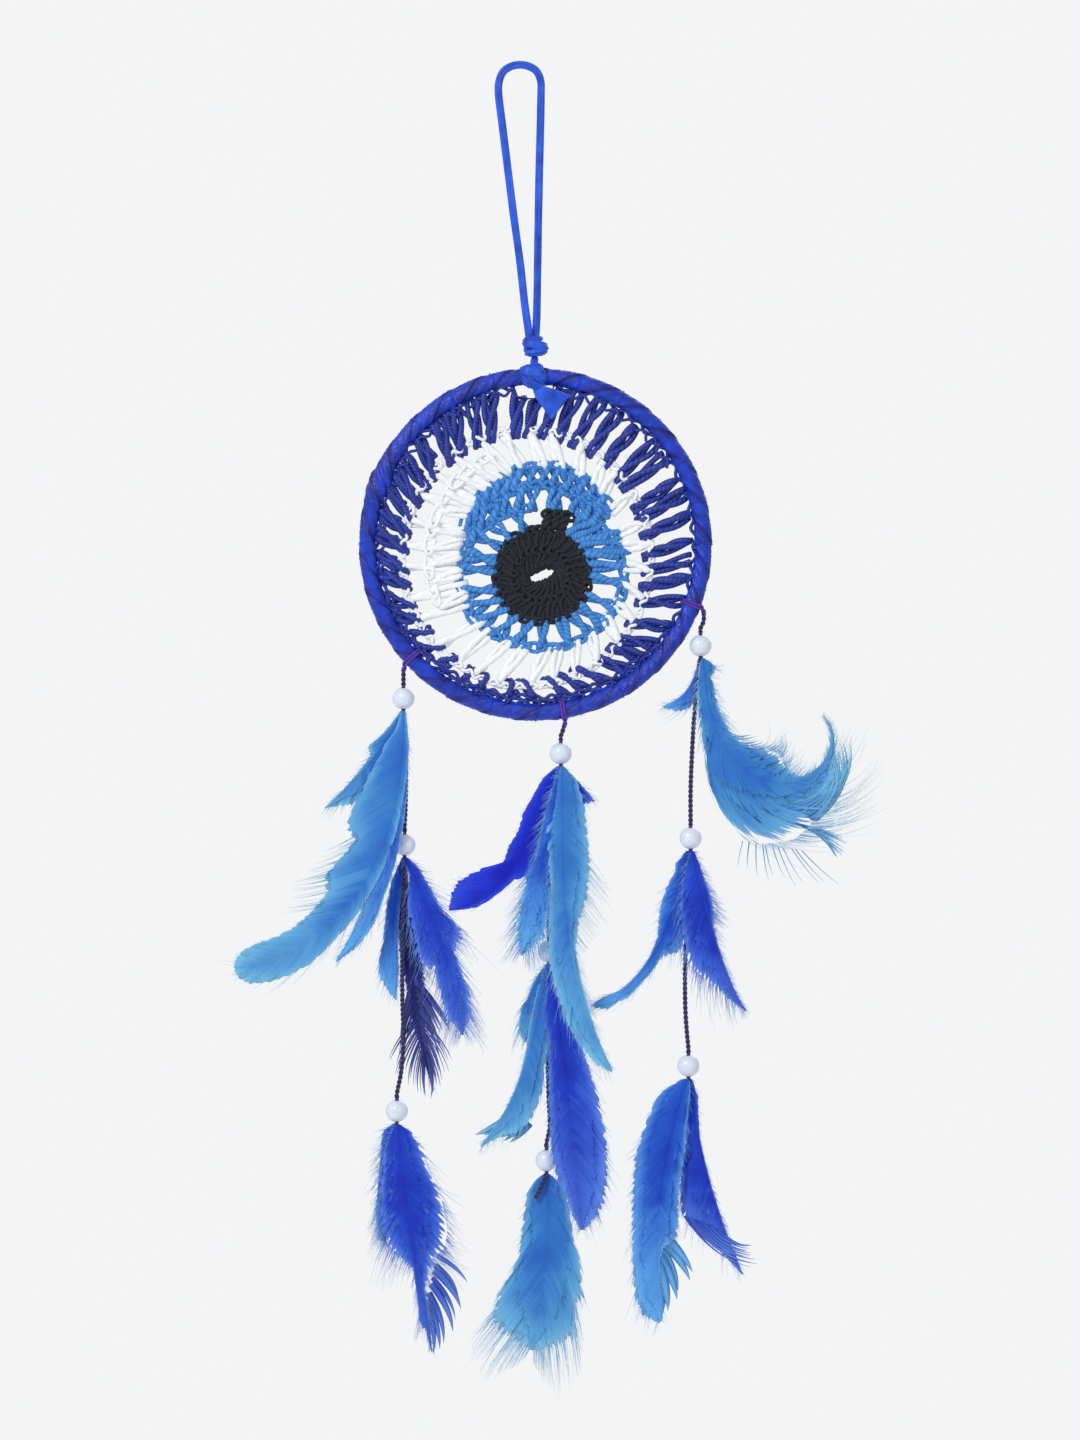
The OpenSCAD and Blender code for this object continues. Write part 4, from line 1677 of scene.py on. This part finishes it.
    def build(self) -> None:
        """Makes every round and the lacing."""
        Round("pupil_round", "black_yarn", BLACK_YARN, self.pupil_rows(), 21).build()
        Round("iris_round", "light_blue_yarn", PALE_YARN, self.iris_rows(), 41).build()
        Round("white_round", "white_yarn", WHITE_YARN, self.white_rows(), 42).build()
        room = Hollow(HOOP_TOP, 11.2, (-0.5, 13.0))
        Round("cobalt_round", "dark_blue_yarn", DARK_YARN, self.cobalt_rows(), 43, room).build()
        self.lacing()


@dataclass
class Drop:
    """One drop: its tie, cord in four lengths, three pearls and its feathers.

    The routes of lengths b, c and d each have their pearl's middle as second point.
    """

    side: str
    tie_angle: float
    routes: dict[str, tuple[tuple[float, float, float], ...]]
    groups: dict[str, list[Feather]]
    cord_r: float = 1.1
    lay: float = 4.4
    thread_r: float = 0.62
    turn_r: float = 4.5
    pearl_r: float = 5.0
    bore_r: float = 1.3

    def tie(self) -> bpy.types.Object:
        """The tie: two turns of thread side by side round the hoop's tube."""
        angle = math.radians(self.tie_angle)
        u = circle(30)[None]
        shift = np.array([[-self.thread_r], [self.thread_r]])
        a = angle + (shift + 0.25 * np.sin(u)) / TUBE_R
        y = self.turn_r * np.sin(u) + 0 * a
        paths = on_hoop(a, TUBE_R + self.turn_r * np.cos(u), y)
        side = np.tile([-math.sin(angle), 0, math.cos(angle)], (2, 1))
        edge = on_hoop(np.array(angle), np.array(80.6), np.array(0.0))
        pivot = np.array(self.routes["a"][0], float)
        tail = spline(np.array([edge, (edge + pivot) / 2 + [0.3, -0.3, 0], pivot]), 14)
        solid = Solid.joined([side_tubes(paths, side, self.thread_r), self.twisted(tail)])
        piece = solid.piece(self.side + "_tie_thread")
        tie = self.side + "_tie"
        return settle(piece, "eye", "purple_thread", tie, surface=TIE_THREAD.material())

    def route(self, part: str) -> Array:
        """A length's points, with its lower end brought down to the next length's top."""
        points = list(self.routes[part])
        if part != "d":
            points.append(self.routes["abcd"["abcd".index(part) + 1]][0])
        return np.array(points, float)

    def twisted(self, path: Array) -> Solid:
        """Two strands wound about a path.

        Strand m lies at a turn of 2 pi (run / lay + m / 2) about the path, at a bit
        more than half the cord's radius.

        Args:
            path: The path's points, (steps, 3).

        Returns:
            The strands.
        """
        along = tangents(path[None])
        deep = carried_normals(along, FRONT)
        wide = np.cross(deep, along)
        run = np.linspace(0, arc_length(path), len(path))[None, :, None]
        solids = []
        for m in range(2):
            turn = 2 * np.pi * (run / self.lay + m / 2)
            strand = path[None] + (np.cos(turn) * wide + np.sin(turn) * deep) * self.cord_r * 0.52
            solids.append(tubes(strand, self.cord_r * 0.54, 8))
        return Solid.joined(solids)

    def cord(self, part: str, body: str) -> bpy.types.Object:
        """One length of cord: two strands wound about its route.

        Args:
            part: Which length, from a to d.
            body: The body that it moves with.

        Returns:
            The cord.
        """
        route = self.route(part)
        path = spline(route, max(12, int(arc_length(route) * 1.6)))
        piece = self.twisted(path).piece(f"{self.side}_thread_{part}")
        settle(piece, body, "drop_cord", f"{self.side}_cord_{part}", surface=CORD_THREAD.material())
        return piece

    def pearl(self, number: int, body: str) -> bpy.types.Object:
        """A pearl: a ball with a bore and softly rounded rims, turned about its bore."""
        a = np.linspace(-1.26, 1.26, 26)
        outer = self.pearl_r * np.stack([np.cos(a), np.sin(a)], axis=1)
        rim = self.bore_r + 0.1
        bore = np.array([[rim, 4.62], [self.bore_r, 4.4], [self.bore_r, -4.4], [rim, -4.62]])
        middle = np.array(self.routes["abcd"[number]][1], float)
        solid = lathe(np.vstack([outer, bore]), middle, 56)
        piece = solid.piece(f"{self.side}_pearl_{number}")
        return settle(piece, body, "pearl", f"{self.side}_bead_{number}", surface=Pearl().material())

    def build(self) -> None:
        """Makes the drop, from its tie to its last feathers."""
        slots = {row["node"]: row["material_slot"] for row in frame["record"]["subparts"]}
        self.tie()
        for part, key in zip("abcd", ("thread", "upper", "middle", "lower")):
            self.cord(part, f"{self.side}_{key}")
        for number, (key, feathers) in enumerate(self.groups.items(), 1):
            self.pearl(number, f"{self.side}_{key}")
            for feather in feathers:
                settle(feather.build(), f"{self.side}_{key}", slots[feather.name], feather.name)


# ---------------------------------------------------------------- the drops


SKY = Dye("light_blue_barbs", (34, 90, 188), (58, 132, 204), (108, 184, 226), (170, 216, 244), 0.7, 0.9)
MID = Dye("mid_blue_barbs", (10, 48, 176), (34, 98, 210), (92, 168, 234), (150, 200, 244), 0.6, 1.4)
ROYAL = Dye("royal_barbs", (4, 20, 160), (28, 72, 204), (84, 128, 228), (136, 172, 238), 0.8, 0.8)
DEEP = Dye("saturated_royal_barbs", (4, 10, 160), (12, 34, 200), (36, 72, 222), (90, 120, 226))
INDIGO = Dye("indigo_barbs", (4, 8, 66), (16, 30, 122), (84, 96, 184), (150, 156, 206), 0.5, 0.9)


def left_drop() -> Drop:
    """The left drop: a long feather that sweeps left, and a broad fluffy tail."""
    top, middle, low = (-53.0, -293.5), (-52.5, -360.0), (-55.5, -481.0)
    upper_feathers = [
        Feather(
            "left_sweep_feather", top, 0, -84, 1.5, 154, -4.1, 5, SKY,
            ((0, 1), (0.05, 3), (0.1, 8), (0.2, 14), (0.3, 18), (0.37, 19), (0.4, 17.5),
             (0.42, 13), (0.5, 15), (0.58, 17), (0.62, 11), (0.8, 9), (0.9, 9.5),
             (0.96, 8), (0.99, 4.5), (1, 0)),
            ((0, 1), (0.1, 3), (0.3, 3.5), (0.5, 5), (0.7, 7), (0.8, 9.5), (0.9, 9.5),
             (0.96, 8), (0.99, 4.5), (1, 0)), Vane.TIGHT,
            wisps=((-1, 0.3, 0.6, 9, 60), (1, 0.5, 0.75, 6, 30)), seed=101),
        Feather(
            "left_inner_feather", top, 2, -43, 1.6, 122, -3.0, 5, MID,
            ((0, 1), (0.2, 4), (0.6, 6), (0.7, 5.5), (0.9, 2), (1, 0)),
            ((0, 1), (0.1, 2), (0.5, 2.5), (0.7, 3), (0.8, 4.5), (0.9, 3.5), (1, 0)),
            seed=102),
        Feather(
            "left_short_feather", (-53.5, -293.5), -25, -52, 1, 57, -1.9, 5, SKY,
            ((0, 0.5), (0.1, 1.5), (0.2, 2.5), (0.3, 4), (0.4, 5.5), (0.44, 2),
             (0.9, 0.6), (1, 0)),
            ((0, 0.5), (0.2, 4), (0.5, 10), (0.7, 12), (0.8, 8), (0.9, 4), (1, 0)),
            seed=103),
    ]
    middle_feathers = [
        Feather(
            "left_royal_feather", middle, 28, 8, 1, 86, -1.9, 1, ROYAL,
            ((0, 1), (0.1, 2), (0.2, 7), (0.3, 11), (0.5, 13.5), (0.6, 13), (0.64, 8),
             (0.8, 7), (0.92, 6), (1, 0)),
            ((0, 1), (0.1, 4.5), (0.3, 6), (0.4, 8), (0.46, 11.5), (0.52, 11),
             (0.56, 5.5), (0.7, 6.5), (0.8, 7), (0.92, 6), (1, 0)),
            Vane.DOWNY,
            wisps=((-1, 0.7, 0.97, 10, 24), (1, 0.7, 0.97, 11, 24)), seed=104),
        Feather(
            "left_light_feather", (-53, -360), -14, 8, 1, 66, 1.9, -1, MID,
            ((0, 0.5), (0.1, 2), (0.2, 3.5), (0.6, 4.4), (0.72, 6.5), (0.82, 7),
             (0.9, 4.5), (1, 0)),
            ((0, 0.5), (0.2, 2.5), (0.8, 3), (1, 0)), seed=105),
        Feather(
            "left_indigo_feather", middle, 0, 14, 1, 109, 3.0, -1, INDIGO,
            ((0, 1), (0.1, 4), (0.3, 5.5), (0.5, 5), (0.6, 4), (0.7, 4), (0.8, 2),
             (1, 0)),
            ((0, 1), (0.2, 3), (0.5, 7), (0.6, 6), (0.66, 8), (0.72, 3), (1, 0)),
            Vane.SPARSE,
            fans=(
                Fan((-49, -414), (-46, -428), (42, 26), -10, (26, 22), 2.2, 7),
                Fan((-50, -418), (-47, -432), (-16, -26), 14, (20, 24), 1.4, 6),
                Fan((-46.5, -432), (-43, -452), (-42, -6), 20, (24, 16), 0.8, 16),
                Fan((-46, -432), (-42, -452), (46, 14), -22, (24, 16), 0.8, 16),
            ), seed=106),
    ]
    lower_feathers = [
        Feather(
            "left_tail_feather", low, 5, 12, 1, 106, -1.9, 0.5, ROYAL,
            ((0, 1), (0.06, 6), (0.12, 9), (0.3, 12.5), (0.42, 15), (0.5, 14.5),
             (0.56, 10), (0.6, 5), (0.63, 1.5), (0.8, 2.5), (0.87, 3.5), (0.9, 0.5),
             (1, 0)),
            ((0, 1), (0.05, 7), (0.12, 10.5), (0.25, 13.5), (0.35, 17.5), (0.5, 18.5),
             (0.58, 16), (0.62, 9), (0.66, 6), (0.72, 3), (0.85, 2.5), (1, 0)),
            Vane.DOWNY,
            fans=(Fan((-39, -541), (-43.5, -562), (60, 20), -30, (20, 25), 3.0, 8),),
            wisps=((1, 0.3, 0.6, 8, 30), (-1, 0.35, 0.55, 7, 24)), seed=107),
        Feather(
            "left_back_feather", (-56, -481), -16, 4, 1, 56, 1.9, -0.5, MID,
            ((0, 1), (0.1, 6), (0.2, 5.5), (0.4, 4), (0.8, 4), (0.93, 3), (1, 0)),
            ((0, 1), (0.2, 6), (0.7, 8), (0.9, 5), (1, 0)), Vane.DOWNY, seed=108),
    ]
    return Drop(
        "left", -137.5,
        {
            "a": ((-53, 0, -275), (-53, 0, -277), (-53, 0, -280.1)),
            "b": (
                (-53, 0, -281.5), (-53, 0, -288), (-53, 0, -294), (-52.5, 0, -305),
                (-52, 0, -320), (-52, 0, -335), (-52.5, 0, -346.6),
            ),
            "c": (
                (-52.5, 0, -348), (-52.5, 0, -354.5), (-52.5, 0, -361), (-53, 0, -380),
                (-53.5, 0, -402), (-53.5, 0, -425), (-53, 0, -443), (-54, 0, -457),
                (-56, 0, -467.6),
            ),
            "d": ((-56, 0, -469), (-56, 0, -475.5), (-56, 0, -483)),
        },
        {"upper": upper_feathers, "middle": middle_feathers, "lower": lower_feathers},
    )


def centre_drop() -> Drop:
    """The centre drop: the bent royal feather and the broad pale tail."""
    top, middle, low = (18.0, -318.5), (13.0, -408.5), (12.0, -503.5)
    upper_feathers = [
        Feather(
            "centre_bent_feather", top, -22, -86, 3, 87, -3.0, 5, DEEP,
            ((0, 1), (0.1, 5.2), (0.3, 7.4), (0.4, 6), (0.5, 6.5), (0.6, 4.5),
             (0.64, 8), (0.7, 10.5), (0.8, 12.5), (0.9, 12), (0.97, 8), (1, 0)),
            ((0, 1), (0.1, 4), (0.3, 6), (0.5, 8), (0.58, 8), (0.64, 4), (0.75, 3),
             (0.85, 2.5), (0.93, 0.8), (1, 0)), Vane.TIGHT, seed=111),
        Feather(
            "centre_long_feather", (19, -318.5), 0, 35, 2.6, 143, -5.2, 5, SKY,
            ((0, 1), (0.1, 4.5), (0.2, 7.5), (0.4, 6), (0.5, 8.5), (0.62, 10.5),
             (0.8, 9.5), (0.9, 7), (0.96, 4), (1, 0)),
            ((0, 1), (0.05, 7), (0.12, 10.5), (0.2, 11.6), (0.3, 12.7), (0.42, 11),
             (0.5, 6), (0.58, 3), (0.8, 2.5), (0.9, 1.5), (1, 0)),
            wisps=((1, 0.2, 0.75, 13, 90),), seed=112),
        Feather(
            "centre_fluffy_feather", top, -9, -14, 1, 88, -4.1, 5, MID,
            ((0, 1), (0.3, 4), (0.5, 4), (0.6, 7), (0.8, 6), (0.92, 5), (1, 0)),
            ((0, 1), (0.3, 5), (0.6, 7.5), (0.8, 9), (0.92, 8.5), (1, 0)), Vane.DOWNY,
            wisps=((-1, 0.6, 0.95, 7, 40), (1, 0.7, 0.95, 7, 30)), seed=113),
        Feather(
            "centre_top_feather", (19, -318.5), 30, 55, 1, 22, -1.9, 5, ROYAL,
            ((0, 1), (0.3, 4), (0.6, 5), (0.9, 4), (1, 0)),
            ((0, 0.5), (0.2, 1.5), (0.5, 2), (0.8, 1.5), (1, 0)), seed=114),
    ]
    middle_feathers = [
        Feather(
            "centre_left_feather", (12.5, -408.5), -10, -46, 2.4, 90, -3.0, 3, SKY,
            ((0, 1), (0.1, 2.5), (0.3, 3.5), (0.45, 2), (0.6, 1), (0.9, 0.8), (1, 0)),
            ((0, 1), (0.1, 4), (0.2, 6), (0.35, 8), (0.5, 8.5), (0.62, 11.5),
             (0.75, 12), (0.82, 11), (0.86, 8), (0.9, 4), (1, 0)),
            fans=(Fan((-6, -479), (5, -480), (-60, -40), -10, (14, 13), 3.6, 6),),
            seed=115),
        Feather(
            "centre_royal_feather", middle, 10, 4, 1, 122, -4.1, 3, ROYAL,
            ((0, 1), (0.1, 3.5), (0.2, 7), (0.3, 6), (0.5, 9.5), (0.7, 11), (0.8, 9.5),
             (0.86, 6.5), (0.95, 3.3), (1, 0)),
            ((0, 1), (0.1, 2.5), (0.2, 4.5), (0.35, 10), (0.5, 13.5), (0.7, 15.5),
             (0.8, 14.8), (0.9, 11.5), (0.96, 7), (1, 0)), quill=0.35, seed=116),
        Feather(
            "centre_short_feather", (12.5, -408.5), -36, 4, 1, 38, -1.9, 3, SKY,
            ((0, 0.5), (0.3, 1.5), (0.5, 1.5), (0.6, 3.5), (0.9, 3.5), (1, 0)),
            ((0, 0.5), (0.3, 4), (0.7, 6), (0.92, 5), (1, 0)), Vane.DOWNY, seed=117),
    ]
    lower_feathers = [
        Feather(
            "centre_tail_feather", low, 4, -14, 1, 82, 1.9, -1, SKY,
            ((0, 1), (0.04, 6), (0.12, 9.8), (0.3, 12), (0.5, 13.4), (0.6, 15.8),
             (0.72, 20.5), (0.88, 21), (0.95, 14), (1, 0)),
            ((0, 1), (0.08, 8), (0.2, 10), (0.4, 13), (0.5, 16.7), (0.62, 18),
             (0.68, 20), (0.71, 16.5), (0.88, 17.5), (0.95, 12), (1, 0)), Vane.SOFT,
            angle=34,
            wisps=((-1, 0.4, 0.97, 8, 120), (1, 0.4, 0.97, 8, 120)), seed=118),
    ]
    return Drop(
        "centre", -80.4,
        {
            "a": ((20, 0, -300.5), (19.3, 0, -303), (18.5, 0, -305.1)),
            "b": (
                (18.5, 0, -306.5), (18.5, 0, -313), (18.5, 0, -319.5), (17.5, 0, -335),
                (16, 0, -355), (14.5, 0, -375), (13, 0, -388), (13, 0, -395.1),
            ),
            "c": (
                (13, 0, -396.5), (13, 0, -403), (13, 0, -410), (13, 0, -430),
                (12.5, 0, -450), (13, 0, -470), (13.5, 0, -482), (12, 0, -490.1),
            ),
            "d": (
                (12, 0, -491.5), (12, 0, -498), (12, -0.2, -503.5), (10, -1, -509),
                (7, -1.2, -515),
            ),
        },
        {"upper": upper_feathers, "middle": middle_feathers, "lower": lower_feathers},
    )


def right_drop() -> Drop:
    """The right drop: the feather that curls round, and a forked tail."""
    top, middle, low = (83.0, -269.5), (78.0, -357.0), (76.0, -460.5)
    upper_feathers = [
        Feather(
            "right_curl_feather", top, 5, 226, 2, 121, -1.9, 1, SKY,
            ((0, 1), (0.1, 4.4), (0.2, 6.3), (0.3, 8.3), (0.4, 13.8), (0.45, 20),
             (0.5, 23), (0.55, 28), (0.6, 30), (0.66, 27), (0.7, 21), (0.76, 12),
             (0.82, 5), (0.88, 1.5), (1, 0)),
            ((0, 1), (0.02, 4), (0.05, 6.7), (0.08, 3.4), (0.12, 4.6), (0.2, 4.8),
             (0.3, 6.3), (0.4, 9.3), (0.5, 15), (0.6, 15), (0.66, 8), (0.7, 2),
             (1, 0)), Vane.DOWNY,
            fans=(
                Fan((113, -335), (132, -345), (84, 130), 85, (33, 39), 1.7, 48, 1.2),
                Fan((121, -344), (135, -347), (80, 38), -12, (26, 14), 0.8, 24),
                Fan((102, -352), (127, -356), (-14, 44), 12, (12, 22), 0.35, 11),
                Fan((96, -305), (108, -318), (88, 104), 18, (8, 13), 0.7, 9),
            ),
            wisps=((-1, 0.4, 0.58, 9, 50), (1, 0.25, 0.55, 7, 50)), seed=121),
        Feather(
            "right_tip_feather", (81.5, -269.5), -8, -84, 1.6, 30, 1.9, -1, MID,
            ((0, 0.5), (0.3, 0.8), (0.6, 1), (0.9, 1), (1, 0)),
            ((0, 0.5), (0.3, 3), (0.6, 6.5), (0.8, 5), (0.95, 1.5), (1, 0)), seed=122),
    ]
    middle_feathers = [
        Feather(
            "right_left_feather", (77, -357), -15, -80, 2.6, 89, 1.9, -1, MID,
            ((0, 1), (0.08, 4.5), (0.14, 4), (0.22, 6), (0.3, 6.3), (0.4, 4.5),
             (0.48, 2), (0.6, 1), (0.8, 1), (0.92, 2.2), (1, 0)),
            ((0, 1), (0.1, 3), (0.3, 8), (0.42, 11), (0.5, 10), (0.56, 4),
             (0.75, 3.5), (0.82, 4.2), (0.86, 3), (0.92, 4), (1, 0)), seed=123),
        Feather(
            "right_royal_feather", middle, 11, 34, 2, 78, -1.9, 1, ROYAL,
            ((0, 1), (0.1, 5), (0.25, 11), (0.5, 15), (0.66, 15), (0.76, 11),
             (0.84, 7), (0.92, 3.5), (1, 0)),
            ((0, 1), (0.1, 3), (0.3, 5), (0.38, 5), (0.46, 2.5), (0.7, 1.5), (1, 0)),
            Vane.DOWNY, wisps=((1, 0.1, 0.4, 8, 40),), seed=124),
    ]
    lower_feathers = [
        Feather(
            "right_tail_feather", low, -20, 8, 1, 113, -1.9, 0.5, MID,
            ((0, 1), (0.05, 6.5), (0.1, 10.5), (0.2, 12.5), (0.35, 14), (0.5, 13),
             (0.6, 12), (0.9, 11), (0.97, 8), (1, 0)),
            ((0, 1), (0.05, 3.5), (0.15, 6), (0.3, 8.6), (0.5, 9), (0.6, 10), (0.66, 9),
             (0.7, 3), (0.75, 1.5), (0.95, 1.5), (1, 0)),
            fans=(Fan((62, -528), (62.5, -547), (50, 14), -24, (28, 22), 4.4, 6),),
            quill=0.4, seed=125),
        Feather(
            "right_back_feather", (77, -460.5), 7, 26, 1.3, 94, 1.9, -0.5, ROYAL,
            ((0, 1), (0.15, 5), (0.3, 6), (0.4, 10.5), (0.5, 13.5), (0.62, 16.5),
             (0.68, 15), (0.76, 9), (0.88, 4), (1, 0)),
            ((0, 1), (0.1, 3), (0.2, 1.8), (0.3, 0.6), (0.6, 1), (0.9, 0.8), (1, 0)),
            fans=(Fan((73, -521), (91, -530), (34, 46), 44, (38, 16), 1.2, 14),),
            wisps=((1, 0.4, 0.8, 6, 30),), seed=126),
    ]
    return Drop(
        "right", -20.8,
        {
            "a": ((83.5, 0, -249.5), (83.4, 0, -253), (82, 0, -256.1)),
            "b": (
                (82, 0, -257.5), (82, 0, -264), (82, 0, -270.5), (80.5, 0, -282),
                (79, 0, -298), (78, 0, -316), (77.5, 0, -330), (77.5, 0, -343.6),
            ),
            "c": (
                (77.5, 0, -345), (77.5, 0, -351.5), (77.5, 0, -358), (76.5, 0, -375),
                (75.5, 0, -395), (75, 0, -410), (75, 0, -425), (75.5, 0, -436),
                (76.5, 0, -447.1),
            ),
            "d": ((76.5, 0, -448.5), (76.5, 0, -455), (76.5, 0, -462.5)),
        },
        {"upper": upper_feathers, "middle": middle_feathers, "lower": lower_feathers},
    )


def main() -> None:
    """Builds the room, then the hanging from its loop down to its last feathers."""
    logging.basicConfig(level=logging.INFO, format="%(message)s")
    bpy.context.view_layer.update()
    Studio().build()
    HangingRibbon().build()
    Hoop().build()
    Crochet().build()
    for drop in (left_drop(), centre_drop(), right_drop()):
        drop.build()
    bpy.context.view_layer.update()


if __name__ == "__main__":
    main()
